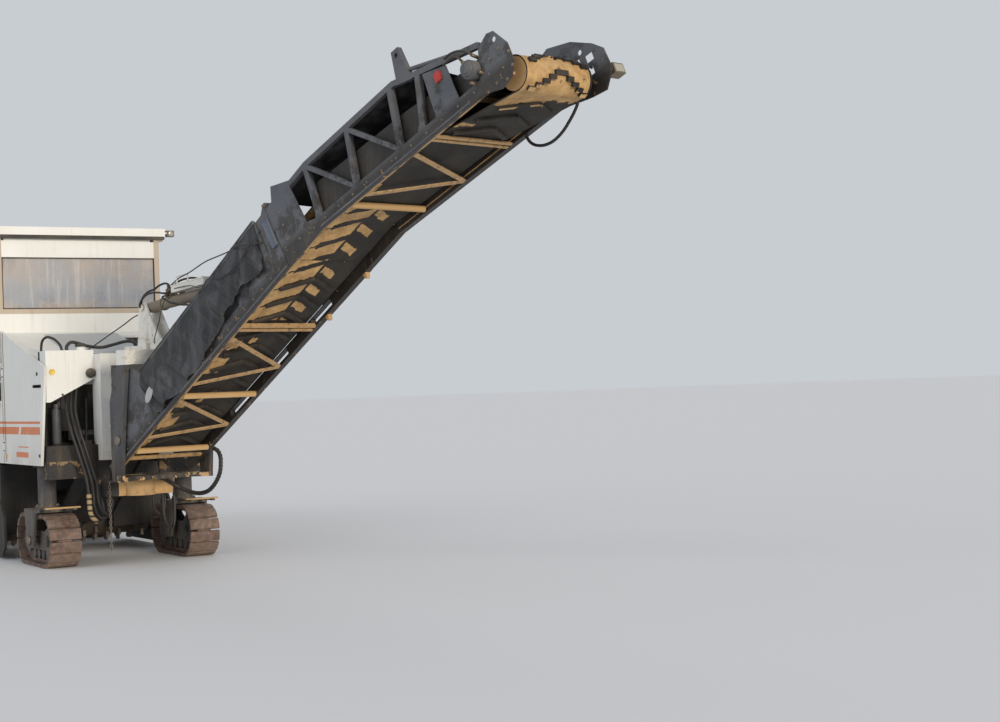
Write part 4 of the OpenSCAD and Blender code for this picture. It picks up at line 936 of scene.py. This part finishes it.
for side, mark in SIDES:
    y0, y1 = sorted((side * 0.47, side * 0.93))
    base = cushion("seat_base_" + mark, (-0.39, y0, 2.40), (0.095, y1, 2.478), (-0.35, 0.35), 2)
    cushion("seat_back_" + mark, (-0.475, y0 + 0.02, 2.49), (-0.39, y1 - 0.02, 2.975), (-0.6, 0.0, 0.6), 0)
    piece = begin_box("seat_shell_" + mark, (-0.40, y0 + 0.01, 2.36), (0.08, y1 - 0.01, 2.3995))
    face(piece, "z", -1, 0.05, pull=(0, 0, -0.04))
    done(piece, black_plastic, "root", "black_plastic", None, 0.006)
    piece = begin_round("seat_post_" + mark, 24, 0.075, 0.378, (-0.15, side * 0.70, 2.13))
    face(piece, "z", -1, 0.02)
    take(piece, lambda c, d: abs(d.z) < 0.1 and c.z < 1.95, "EDGE")
    bpy.ops.mesh.bevel(offset=0.006, segments=2)
    done(piece, black_frame, "root", "black_frame", None, 0.003)
    if side < 0:
        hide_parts("seats")
    piece = begin_box("desk_screen_" + mark, (0.43, side * 0.70 - 0.11, 2.90),
        (0.45, side * 0.70 + 0.11, 3.04))
    face(piece, "x", -1, 0.012, pull=(0.004, 0, 0))
    done(piece, black_plastic, "root", "black_plastic", None, 0.003)
    bar("desk_lever_stem_" + mark, (0.56, side * 0.55, 2.9605), (0.54, side * 0.55, 3.05), 0.007,
        bolt_steel, "root", "black_plastic")
    piece = begin("desk_lever_knob_" + mark, "uv_sphere", segments=18, ring_count=10, radius=0.026,
        location=(0.538, side * 0.55, 3.065))
    bpy.ops.mesh.select_all(action="SELECT")
    bpy.ops.transform.resize(value=(0.85, 0.85, 1.25), center_override=(0.538, side * 0.55, 3.065))
    done(piece, black_plastic, "root", "black_plastic")
    bolts("desk_buttons_" + mark, [(0.60 + 0.04 * (k % 3), side * (0.64 + 0.05 * (k // 3)), 2.961)
        for k in range(9)], (0, 0, 1), 0.009, yellow_mark, "root", "black_plastic")

# Slewing frame and lift cylinder: slate cheeks below, a cream clevis head above, a dusty
# barrel with a valve block and a white cover box, and a polished rod.
ON_SLEW = ("slew", "slate_paint", SLEW)
ON_BARREL = ("barrel", "dusty_steel", BARREL)


def slew_colours(tree, paint):
    at = place_of(tree)
    head = over(at["Z"], 2.286)
    dirty = mixed(spread(cloud(tree, 6.0, 5.0, 0.7), 0.50, 0.68, 0.0, 0.7), (0.78, 0.76, 0.69, 1),
        (0.40, 0.31, 0.20, 1))
    black_foot = product(spread(at["Z"], 1.40, 1.08), 0.95)
    cake = product(under(at["Z"], 1.06), over(cloud(tree, 6.0, 5.0, 0.7), 0.55))
    worn = product(over(cloud(tree, 4.5, 6.0, 0.75), 0.57), 0.85)
    body = mixed(either_of(black_foot, worn), paint, (*BLACK_DIRT_AND_SHADE, 1))
    return mixed(head, mixed(cake, body, (*TAN, 1)), dirty)


slew_paint = finish("slew_paint", (0.048, 0.053, 0.064), 0.5, dust=(0.44, 0.36, 0.26), top=0.3, below=0.1,
    runs=0.5, stain=(0.32, 0.24, 0.16), chips=0.35, pattern=slew_colours)
cover(slew_paint, "slew_frame")


def local_place(tree, where):
    """Along, across and above in a frame of the machine, from the object's own coordinates"""
    place = put(tree, "TexCoord").outputs["Object"]
    turned = put(tree, "Mapping", {"Vector": place, "Location": where.to_translation(),
        "Rotation": where.to_euler()}, vector_type="TEXTURE").outputs[0]
    return put(tree, "SeparateXYZ", {0: turned}).outputs


def barrel_colours(tree, paint):
    at = local_place(tree, BARREL)
    box_part = product(over(at["Z"], 0.081), over(at["X"], 0.55))
    block_part = product(over(at["Z"], 0.060), band(at["X"], 0.40, 0.54))
    dirt = spread(cloud(tree, 8.0, 5.0, 0.7), 0.52, 0.70, 0.0, 0.6)
    white = mixed(dirt, (0.80, 0.78, 0.72, 1), (0.50, 0.42, 0.30, 1))
    with_block = mixed(block_part, paint, (0.10, 0.075, 0.05, 1))
    return mixed(box_part, with_block, white)


barrel_paint = finish("barrel_paint", (0.20, 0.165, 0.125), 0.5, dust=(0.48, 0.38, 0.26), top=0.45,
    below=0.2, chips=0.35, runs=0.4, metal=0.1, pattern=barrel_colours)
cover(barrel_paint, "lift_barrel")
bright_rod = finish("bright_rod", (0.62, 0.62, 0.62), 0.18, top=0.2, metal=1.0, relief=0.02)
cover(bright_rod, "lift_rod")
valve_metal = finish("valve_metal", (0.17, 0.12, 0.075), 0.45, dust=(0.50, 0.37, 0.22), top=0.6, metal=0.5,
    chips=0.5, scale=3.0, relief=0.5)
cream_dirty = finish("cream_dirty", (0.78, 0.75, 0.67), 0.45, dust=(0.46, 0.36, 0.24), top=0.4, below=0.3,
    runs=0.5, stain=(0.25, 0.17, 0.10), chips=0.4, bare=(0.18, 0.11, 0.06), scale=2.0)

pipe("cover_box_handle", [(0.67, -0.05, 0.164), (0.67, -0.05, 0.235), (0.685, -0.05, 0.25),
    (0.87, -0.05, 0.25), (0.885, -0.05, 0.235), (0.885, -0.05, 0.164)], 0.008, cream_dirty, *ON_BARREL,
    0.01)
for k, (u, y, v, r, h) in enumerate(((0.44, -0.02, 0.150, 0.016, 0.045), (0.47, 0.02, 0.150, 0.013, 0.06),
    (0.50, -0.01, 0.150, 0.018, 0.03), (0.43, 0.025, 0.150, 0.010, 0.05))):
    bar("valve_stem_%d" % k, (u, y, v - 0.004), (u, y, v + h), r, valve_metal, *ON_BARREL, 10)
for k, (u, v) in enumerate(((0.44, 0.10), (0.50, 0.11), (0.47, 0.075))):
    for side in (-1, 1):
        bar("valve_port_%d_%s" % (k, "r" if side < 0 else "l"), (u, side * 0.044, v), (u, side * 0.085, v),
            0.013, valve_metal, *ON_BARREL, 8)
bolts("cover_box_bolts", [(u, y, 0.1652) for u in (0.62, 0.90, 1.20) for y in (-0.07, 0.07)], (0, 0, 1),
    0.008, bolt_steel, *ON_BARREL)
piece = begin_box("cover_box_lid", (0.585, -0.09, 0.1505), (1.235, 0.09, 0.1645))
face(piece, "z", 1, 0.02, pull=(0, 0, 0.006))
done(piece, cream_dirty, *ON_BARREL, 0.003)
for u, name in ((0.30, "rear"), (1.34, "front")):
    piece = begin_round("barrel_ring_" + name, 32, 0.072, 0.04, (u, 0, 0), ALONG_X)
    face(piece, "x", 0, 0.008, swell=-0.004)
    done(piece, barrel_paint, *ON_BARREL, 0.002)
for side, mark in SIDES:
    bar("clevis_pin_" + mark, (0.334, side * 0.106, 2.937), (0.334, side * 0.128, 2.937), 0.036,
        cream_dirty, "barrel", "dusty_steel", SLEW, 20)
    bolts("clevis_plate_bolts_" + mark, [(x, side * 0.0955, z) for x,
        z in ((0.30, 2.60), (0.42, 2.58), (0.52, 2.62), (0.62, 2.56))], (0, side, 0), 0.010, cream_dirty,
        *ON_SLEW)
    bolts("head_beam_bolts_" + mark, [(0.7605, side * y, z) for y in (0.20, 0.34, 0.48, 0.565)
        for z in (2.32, 2.415)], (1, 0, 0), 0.011, cream_dirty, *ON_SLEW)
    piece = begin_box("head_lug_" + mark, (0.66, side * 0.30 - 0.03, 2.4497),
        (0.75, side * 0.30 + 0.03, 2.53))
    face(piece, "z", 1)
    bpy.ops.transform.resize(value=(0.6, 1, 1), center_override=(0.705, side * 0.30, 2.53))
    done(piece, cream_dirty, *ON_SLEW, 0.006)
    bar("cheek_pin_" + mark, (0.55, side * 0.6045, 1.45), (0.55, side * 0.618, 1.45), 0.05, bolt_steel,
        "lower", "slate_paint", SLEW, 20)

# Conveyor frames: folded and welded slate steel walls on box chords, with diagonals that millings have caked
# tan.
# Between the walls the frames are near black, partly dirt and partly painted shade, the far chord's
# underside is a painted shadow, and they darken towards their foot. Bolted joints, edge strips and
# small brackets are added here.
ON_LOWER = ("lower", "slate_paint", LOWER)
ON_UPPER = ("upper", "slate_paint", UPPER)


def frame_grime_and_shade(where, skirts):
    def colours(tree, paint):
        at = local_place(tree, where)
        across = size_of(at["Y"])
        # Between the walls: near black, partly dirt and partly painted shade.
        inside = under(across, skirts)
        # The far chord's underside: a painted shadow.
        far_chord_shadow = product(over(at["Y"], 0.44), under(at["Z"], 0.03))
        grime = product(spread(cloud(tree, 5.0, 6.0, 0.75), 0.48, 0.56), 0.8)
        # foot: darker towards the bottom of the frame.
        foot = product(spread(at["Z"], 0.16, 0.07), 0.9)
        worn = either_of(foot, product(grime, spread(at["Z"], 0.60, 0.30, 0.25, 1.0)))
        dark = mixed(either_of(either_of(inside, far_chord_shadow), worn), paint, (*BLACK_DIRT_AND_SHADE, 1))
        low_part = product(under(at["Z"], 0.046), under(across, 0.4655))
        crumbs = spread(cloud(tree, 17.0, 5.0, 0.7), 0.34, 0.50, 0.35, 1.0)
        tanned = mixed(product(low_part, crumbs), dark, (*TAN, 1))
        lip = product(under(at["Z"], 0.012), band(at["Y"], -0.492, -0.4655))
        specks = product(under(at["Z"], 0.11), over(cloud(tree, 15.0, 4.0, 0.7), 0.655))
        cake = either_of(product(lip, spread(cloud(tree, 6.0), 0.36, 0.5, 0.1, 1.0)), product(specks, 0.8))
        return mixed(cake, tanned, (0.46, 0.28, 0.115, 1))
    return colours


slate = dict(rough=0.48, dust=(0.36, 0.30, 0.23), top=0.3, below=0.06, runs=0.5)
lower_paint = finish("lower_paint", (0.100, 0.108, 0.124), stain=(0.08, 0.065, 0.05), chips=0.45,
    bare=(0.03, 0.02, 0.016), pattern=frame_grime_and_shade(LOWER, 0.468), **slate)
upper_paint = finish("upper_paint", (0.095, 0.101, 0.114), stain=(0.08, 0.062, 0.045), chips=0.5,
    bare=(0.05, 0.028, 0.016), pattern=frame_grime_and_shade(UPPER, 0.468), **slate)
cover(lower_paint, "lower_frame")
cover(upper_paint, "upper_frame")
cover(black_frame, "primary_conveyor")
CHORD = 0.5362
roller_tan = finish("roller_tan", TAN, 0.7, dust=(0.66, 0.46, 0.24), top=0.6, below=0.7, chips=0.6,
    bare=(0.16, 0.09, 0.05), scale=2.0, relief=0.5)
cover(roller_tan, "lower_rollers")


def drum_ends(tree, paint):
    """The head drum's left end is black, its right end and the rollers are caked tan"""
    at = local_place(tree, UPPER)
    return mixed(product(over(at["X"], 2.55), over(at["Y"], 0.0)), paint, (*BLACK_DIRT_AND_SHADE, 1))


head_steel = finish("head_steel", TAN, 0.7, dust=(0.40, 0.30, 0.2), top=0.3, below=0.1, chips=0.6,
    bare=(0.16, 0.09, 0.05), scale=2.0, relief=0.5, pattern=drum_ends)
cover(head_steel, "upper_rollers")

for side, mark in SIDES:
    piece = side_box("lower_edge_strip_" + mark, side, (0.30, 0.536, 0.004), (3.96, 0.545, 0.026))
    face(piece, "y", side, 0.004, shift=(0, -side * 0.002, 0))
    done(piece, shade_steel, *ON_LOWER)
    bolts("lower_chord_bolts_" + mark, [(0.45 + 0.18 * k, side * CHORD, 0.065) for k in range(19)],
        (0, side, 0), 0.008, bolt_steel, *ON_LOWER)
    bolts("upper_chord_bolts_" + mark, [(0.12 + 0.23 * k, side * CHORD, 0.06) for k in range(11)],
        (0, side, 0), 0.008, bolt_steel, *ON_UPPER)
    bolts("fold_pin_nut_" + mark, [(3.996, side * 0.527, 0.73)], (0, side, 0), 0.02, bolt_steel, *ON_LOWER)
    bolts("fold_plate_bolts_" + mark, [(-0.50, side * CHORD, 0.14), (-0.50, side * CHORD, 0.30),
        (-0.50, side * CHORD, 0.44), (-0.32, side * CHORD, 0.06), (-0.16, side * CHORD, 0.03)],
        (0, side, 0), 0.010, bolt_steel, *ON_UPPER)
    piece = side_box("upper_edge_strip_" + mark, side, (0.03, 0.536, 0.004), (2.34, 0.544, 0.022))
    face(piece, "y", side, 0.004, shift=(0, -side * 0.002, 0))
    done(piece, shade_steel, *ON_UPPER)
    pipe("top_tube_" + mark, [(1.62, side * 0.511, 0.735), (1.70, side * 0.511, 0.72),
        (2.10, side * 0.511, 0.585), (2.44, side * 0.511, 0.470)], 0.020, shade_steel, *ON_UPPER)
    for u, v in ((0.642, 0.112), (1.345, 0.112), (1.686, 0.112), (0.03, 0.112)):
        piece = begin_box("post_gusset_%s_%d" % (mark, round(u * 1000)),
            (u - 0.07, side * 0.531 - 0.004, v - 0.012), (u + 0.07, side * 0.531 + 0.004, v + 0.055))
        face(piece, "z", 1)
        bpy.ops.transform.resize(value=(0.45, 1, 1), center_override=(u + 0.01, side * 0.531, v + 0.055))
        done(piece, upper_paint, *ON_UPPER, 0.002)
for u in (3.145, 3.90):
    piece = begin_box("chord_bracket_%d" % round(u * 1000), (u - 0.03, 0.47, -0.055),
        (u + 0.03, 0.53, -0.0003))
    face(piece, "z", -1)
    bpy.ops.transform.resize(value=(0.5, 0.8, 1), center_override=(u, 0.50, -0.055))
    done(piece, tan_steel, *ON_LOWER, 0.004)
piece = begin_box("wall_lining", (1.02, -0.505, 0.075), (3.70, -0.500, 0.50))
bpy.ops.mesh.select_all(action="SELECT")
bpy.ops.mesh.subdivide(number_cuts=11)
for k in range(10):
    u = 1.245 + 0.2235 * k
    take(piece, lambda c, n: n.y < -0.9 and abs(c.x - u) < 0.1)
    bpy.ops.transform.translate(value=(0, -0.004 if k % 2 else 0.0, 0))
done(piece, shade_steel, *ON_LOWER)
blue_grey = finish("blue_grey", (0.075, 0.105, 0.155), 0.5, top=0.35, runs=0.4, chips=0.3)
piece = begin_box("fold_box", (3.905, -0.566, 0.27), (3.985, -0.5363, 0.58))
face(piece, "y", -1, 0.010, shift=(0, 0.006, 0))
done(piece, blue_grey, *ON_LOWER, 0.004)
piece = begin_box("wall_end_strip", (3.785, -0.5425, 0.10), (3.80, -CHORD, 0.672))
face(piece, "y", -1, 0.003, shift=(0, 0.002, 0))
done(piece, black_rubber, *ON_LOWER)
bolts("head_plate_bolts_right", [(2.80 + 0.15 * math.cos(a), -CHORD, 0.10 + 0.15 * math.sin(a))
    for a in [0.4 + k * 0.9 for k in range(7)]], (0, -1, 0), 0.011, bolt_steel, *ON_UPPER)
bolts("head_plate_bolts_left", [(2.80 + 0.13 * math.cos(a), CHORD, 0.06 + 0.13 * math.sin(a))
    for a in [k * 0.9 for k in range(7)]], (0, 1, 0), 0.011, bolt_steel, *ON_UPPER)

# Head drive and lamps: a hydraulic motor bolted between the plates at the right, its hoses,
# square red marker lamps on both sides and a work lamp outside the left head plate.
piece = begin_round("head_motor", 24, 0.085, 0.16, (2.50, -0.535, 0.235), ALONG_Y)
face(piece, "y", -1, 0.02, pull=(0, -0.03, 0))
bpy.ops.mesh.inset(thickness=0.02)
bpy.ops.mesh.extrude_region_move(TRANSFORM_OT_translate={"value": (0, -0.012, 0)})
done(piece, shade_steel, *ON_UPPER, 0.004)
for k, (u, v) in enumerate(((2.43, 0.34), (2.56, 0.33), (2.45, 0.12), (2.58, 0.15))):
    bar("motor_port_%d" % k, (u, -0.50, v), (u, -0.575, v + 0.02), 0.016, valve_metal, *ON_UPPER, 8)
pipe("motor_pipe_a", [(2.43, -0.57, 0.36), (2.42, -0.585, 0.40), (2.37, -0.585, 0.44), (2.28, -0.575, 0.46),
    (2.20, -0.56, 0.465)], 0.011, black_rubber, "upper", "hose_rubber", UPPER)
pipe("motor_pipe_b", [(2.56, -0.57, 0.35), (2.53, -0.60, 0.40), (2.45, -0.605, 0.45), (2.34, -0.59, 0.49),
    (2.24, -0.565, 0.505)], 0.011, black_rubber, "upper", "hose_rubber", UPPER)


def lamp_colours(tree, paint):
    at = local_place(tree, UPPER)
    red = under(at["X"], 2.25)
    return mixed(red, paint, (0.50, 0.022, 0.022, 1))


lamp_shell = finish("lamp_shell", (0.11, 0.085, 0.055), 0.45, dust=(0.40, 0.29, 0.17), top=0.5, below=0.2,
    chips=0.2, pattern=lamp_colours)
cover(lamp_shell, "work_lamps")
piece = begin_box("work_lamp_lens", (3.0705, 0.612, 0.022), (3.0735, 0.724, 0.098))
face(piece, "x", 1, 0.008, shift=(-0.0015, 0, 0))
done(piece, lamp_glass, "upper", "dirty_glass", UPPER)

# Belts: black rubber with moulded chevrons, open towards the head on the carrying side. Fine
# millings cake the flats between the chevrons on the side that hangs below. The wide black bands
# left along the chevrons are partly the black cleats and partly painted shade, and the black on
# the runs outside the caked span is painted shade.
ACROSS = SLEW.to_3x3() @ Vector((0, 1, 0))
HEAD_X, HEAD_Z, HEAD_REACH = 2.8, 0.04, 0.171


def belt_cakes_and_shade(where, golden_from, golden_to, flat_v, lumps, wrapped=False):
    """Golden plates of millings between the chevrons, thick on the near side and thin on the far one; the
    black left along the chevrons is partly cleat and partly painted shade, and the black outside golden_from
    to golden_to is painted shade
    """
    def colours(tree, paint):
        at = local_place(tree, where)
        facing = put(tree, "NewGeometry").outputs["Normal"]
        sideways = put(tree, "VectorMath", {0: facing, 1: ACROSS}, operation="DOT_PRODUCT").outputs["Value"]
        flat = under(size_of(sideways), 0.2)
        down = under(put(tree, "SeparateXYZ", {0: facing}).outputs["Z"], 0.1)
        spill = cloud(tree, 9.0, 5.0, 0.7)
        arrow = raised(size_of(at["Y"]), 0.577, at["X"])
        shifted = raised(spill, 0.11, arrow)
        turn = reckon("DIVIDE", reckon("SUBTRACT", shifted, 0.155), 0.3)
        step = reckon("FRACT", turn)
        side = raised(spill, 0.05, at["Y"])
        # Steps outside these bands stay black: partly the cleats, partly painted shade along them.
        near = product(band(step, 0.16, 0.82), under(side, 0.0))
        edge = product(band(step, 0.04, 0.94), under(side, -0.28))
        far = product(band(step, 0.34, 0.70), band(side, 0.035, 0.235))
        # Outside golden_from to golden_to the belt stays black as painted shade.
        cakes = product(either_of(either_of(near, edge), far), band(at["X"], golden_from, golden_to))
        for u0, u1, y0, y1 in lumps:
            ragged = raised(spill, 0.22, at["X"])
            lump = product(band(ragged, u0 + 0.11, u1 + 0.11), band(side, y0 + 0.025, y1 + 0.025))
            cakes = either_of(cakes, lump)
        share = product(product(cakes, flat), down)
        if flat_v:
            share = product(share, over(at["Z"], flat_v))
        if wrapped:
            round_part = put(tree, "CombineXYZ", {0: reckon("SUBTRACT", at["X"], HEAD_X),
                1: reckon("SUBTRACT", at["Z"], HEAD_Z)})
            reach = put(tree, "VectorMath", {0: round_part.outputs[0]}, operation="LENGTH").outputs["Value"]
            ragged_end = raised(spill, 0.5, at["X"])
            wrap = product(product(over(ragged_end, 2.79), under(reach, HEAD_REACH)),
                product(flat, band(at["Y"], -0.46, 0.372)))
            worn = spread(cloud(tree, 12.0, 4.0, 0.7), 0.30, 0.38, 0.2, 1.0)
            share = either_of(share, product(wrap, worn))
        tone = mixed(spread(spill, 0.35, 0.65), (0.38, 0.215, 0.08, 1), (0.64, 0.40, 0.16, 1))
        return mixed(share, paint, tone)
    return colours


belt_plain = dict(rough=0.75, dust=(0.40, 0.31, 0.21), top=0.3, below=0.02, scale=2.0, relief=0.6)
lower_rubber = finish("lower_rubber", (0.012, 0.010, 0.008), pattern=belt_cakes_and_shade(LOWER, 2.95, 9.0, 0.070,
    ((0.86, 1.16, -0.43, -0.20), (1.28, 1.45, -0.43, -0.25), (1.38, 1.46, -0.16, -0.08),
    (1.95, 2.25, -0.43, -0.20), (2.42, 2.62, -0.43, -0.22), (2.54, 2.62, -0.13, -0.05),
    (0.50, 0.62, -0.43, -0.30))), **belt_plain)
upper_rubber = finish("upper_rubber", (0.012, 0.010, 0.008), pattern=belt_cakes_and_shade(UPPER, -9.0, 0.42, None,
    ((1.98, 2.05, -0.40, -0.22), (0.62, 0.80, -0.43, -0.33), (2.44, 2.90, -0.46, -0.18),
    (2.58, 2.90, -0.24, 0.06), (2.68, 2.90, 0.0, 0.36)), True), **belt_plain)
belt_rubber = finish("belt_rubber", (0.022, 0.018, 0.015), **belt_plain)
cover(lower_rubber, "lower_belt")
cover(upper_rubber, "upper_belt")
cover(belt_rubber, "primary_belt")

# Cover on the right wall: coated cloth hung from a tube along the wall's top, creased by
# the wind and torn along its foot.
def painted_fold_light(tree, paint):
    """Painted highlight and shade for the folds: grey streaks of stretched noise for lit ridges and black
    between them for shaded hollows
    """
    place = put(tree, "TexCoord").outputs["Object"]
    drawn = put(tree, "Mapping", {"Vector": place, "Rotation": (0, 0.25, 0),
        "Scale": (3.4, 3.4, 0.8)}).outputs[0]
    fold_light_streaks = put(tree, "TexNoise", {"Vector": drawn, "Scale": 2.4, "Detail": 5.0,
        "Roughness": 0.6}).outputs["Fac"]
    return mixed(spread(fold_light_streaks, 0.44, 0.66), paint, (0.060, 0.060, 0.064, 1))


cloth = finish("tarpaulin", (0.011, 0.011, 0.012), 0.42, dust=(0.12, 0.11, 0.10), top=0.35, runs=0.2,
    stain=(0.10, 0.09, 0.08), scale=1.5, relief=0.3, pattern=painted_fold_light)


def wall_top(u):
    return 0.600 + 0.085 * (u - 1.15) / 2.85


TUBE_Y, TUBE_UP, ROLL = -0.532, 0.0226, 0.026
FOOT = ((1.08, 0.06), (1.35, 0.03), (1.676, 0.01), (2.08, 0.041), (2.386, 0.063), (2.973, 0.185),
    (3.331, 0.242), (3.50, 0.215), (3.69, 0.18))


def foot_at(u):
    for (a, va), (b, vb) in zip(FOOT, FOOT[1:]):
        if u <= b:
            return va + (vb - va) * (u - a) / (b - a)
    return FOOT[-1][1]


def thicken(piece, body, place):
    """Gives the shaped cloth its thickness, the same way round all over"""
    bpy.ops.object.mode_set(mode="EDIT")
    bpy.ops.mesh.select_all(action="SELECT")
    bpy.ops.mesh.normals_make_consistent(inside=False)
    bpy.ops.object.mode_set(mode="OBJECT")
    thick = piece.modifiers.new("cloth", "SOLIDIFY")
    thick.thickness = 0.002
    thick.offset = 0
    bpy.ops.object.modifier_apply(modifier="cloth")
    bpy.ops.object.mode_set(mode="EDIT")
    done(piece, cloth, body, "tarpaulin", place, 0, 0, 60)


piece = begin("wall_cover", "grid", x_subdivisions=220, y_subdivisions=60, size=2)
bpy.ops.object.mode_set(mode="OBJECT")
for corner in piece.data.vertices:
    s, t = (corner.co.x + 1) / 2, (1 - corner.co.y) / 2
    u_top, u_foot = 1.16 + 2.60 * s, 1.09 + 2.60 * s
    u = u_top + (u_foot - u_top) * t + 0.012 * noise.noise((s * 9, t * 4, 3.1))
    top = wall_top(u_top)
    foot = foot_at(u_foot) + 0.020 * noise.noise((s * 26, 0.3, 1.7)) + 0.012 * noise.noise((s * 80, 0.1, 5.0))
    if t < 0.08:
        a = t / 0.08 * 1.15 * math.pi
        y = TUBE_Y + ROLL * math.cos(a)
        v = top + TUBE_UP + ROLL * math.sin(a)
        corner.co = (u, y, v)
        continue
    d = (t - 0.08) / 0.92
    v = top + TUBE_UP - 0.012 + (foot - top - 0.01) * d
    slope = u + 0.55 * (v - 0.3)
    folds = 0.85 * noise.noise((slope * 4.0, v * 0.8, 0.4)) + 0.40 * noise.noise((slope * 9.0, v * 1.6, 7.4))
    folds += (0.18 * abs(noise.noise((slope * 18.0, v * 3.0, 2.2)))
        + 0.04 * noise.noise((u * 30.0, v * 18.0, 9.0)))
    reach = 0.008 + 0.050 * min(1.0, d * 2.5)
    out = reach * max(0.0, min(1.35, 0.50 + folds * 1.7))
    corner.co = (u, -0.540 - out, v)
thicken(piece, "lower", LOWER)
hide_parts("tarp")
pipe("cover_tube", [(1.18, TUBE_Y, wall_top(1.18) + TUBE_UP), (2.4, TUBE_Y, wall_top(2.4) + TUBE_UP),
    (3.76, TUBE_Y, wall_top(3.76) + TUBE_UP)], 0.022, shade_steel, *ON_LOWER, 0.3)

# Blank oval plate riveted to the wall near the cover's low end, greyed by dust.
piece = begin_round("oval_plate", 40, 0.055, 0.003, turn=ALONG_Y)
face(piece, "y", -1, 0.006, shift=(0, 0.0008, 0))
bpy.ops.mesh.select_all(action="SELECT")
bpy.ops.transform.resize(value=(1.9, 1.0, 1.0), center_override=(0, 0, 0))
plate_paint = finish("plate_paint", (0.42, 0.42, 0.42), 0.5, top=0.5, scale=3.0)
done(piece, plate_paint, "lower", "tarpaulin", LOWER @ Matrix.Translation((1.262, -0.613, 0.264))
    @ Matrix.Rotation(math.radians(-22), 4, "Y"))

# Cover over the upper section: the same cloth, stretched between the top chords and hung
# down inside the left wall's windows, so that dust stays under it.
piece = begin("top_cover", "grid", x_subdivisions=150, y_subdivisions=70, size=2)
bpy.ops.object.mode_set(mode="OBJECT")
for corner in piece.data.vertices:
    s, t = (corner.co.x + 1) / 2, (corner.co.y + 1) / 2
    u = -0.50 + 2.54 * s
    chord = 0.655 + 0.04 * max(0.0, min(1.0, u / 1.6)) - max(0.0, u - 1.66) * 0.40 + 0.164 * min(0.0, u)
    run = t * 1.40
    if run < 0.99:
        y = -0.495 + run
        sag = 0.050 * math.sin(math.pi * run / 0.99) * (0.75 + 0.25 * math.sin(u * 19.0))
        v = chord - 0.012 - sag + 0.010 * noise.noise((u * 7, y * 5, 3.3)) * min(1, run * 8, (0.99 - run) * 8)
    else:
        drop = run - 0.99
        y = 0.495 + 0.020 * min(1, drop * 6) * noise.noise((u * 8, drop * 3, 8.8))
        v = chord - 0.012 - drop + 0.02 * noise.noise((u * 14, 1.1, 4.0)) * min(1, drop * 6)
    corner.co = (u, y, v)
thicken(piece, "upper", UPPER)
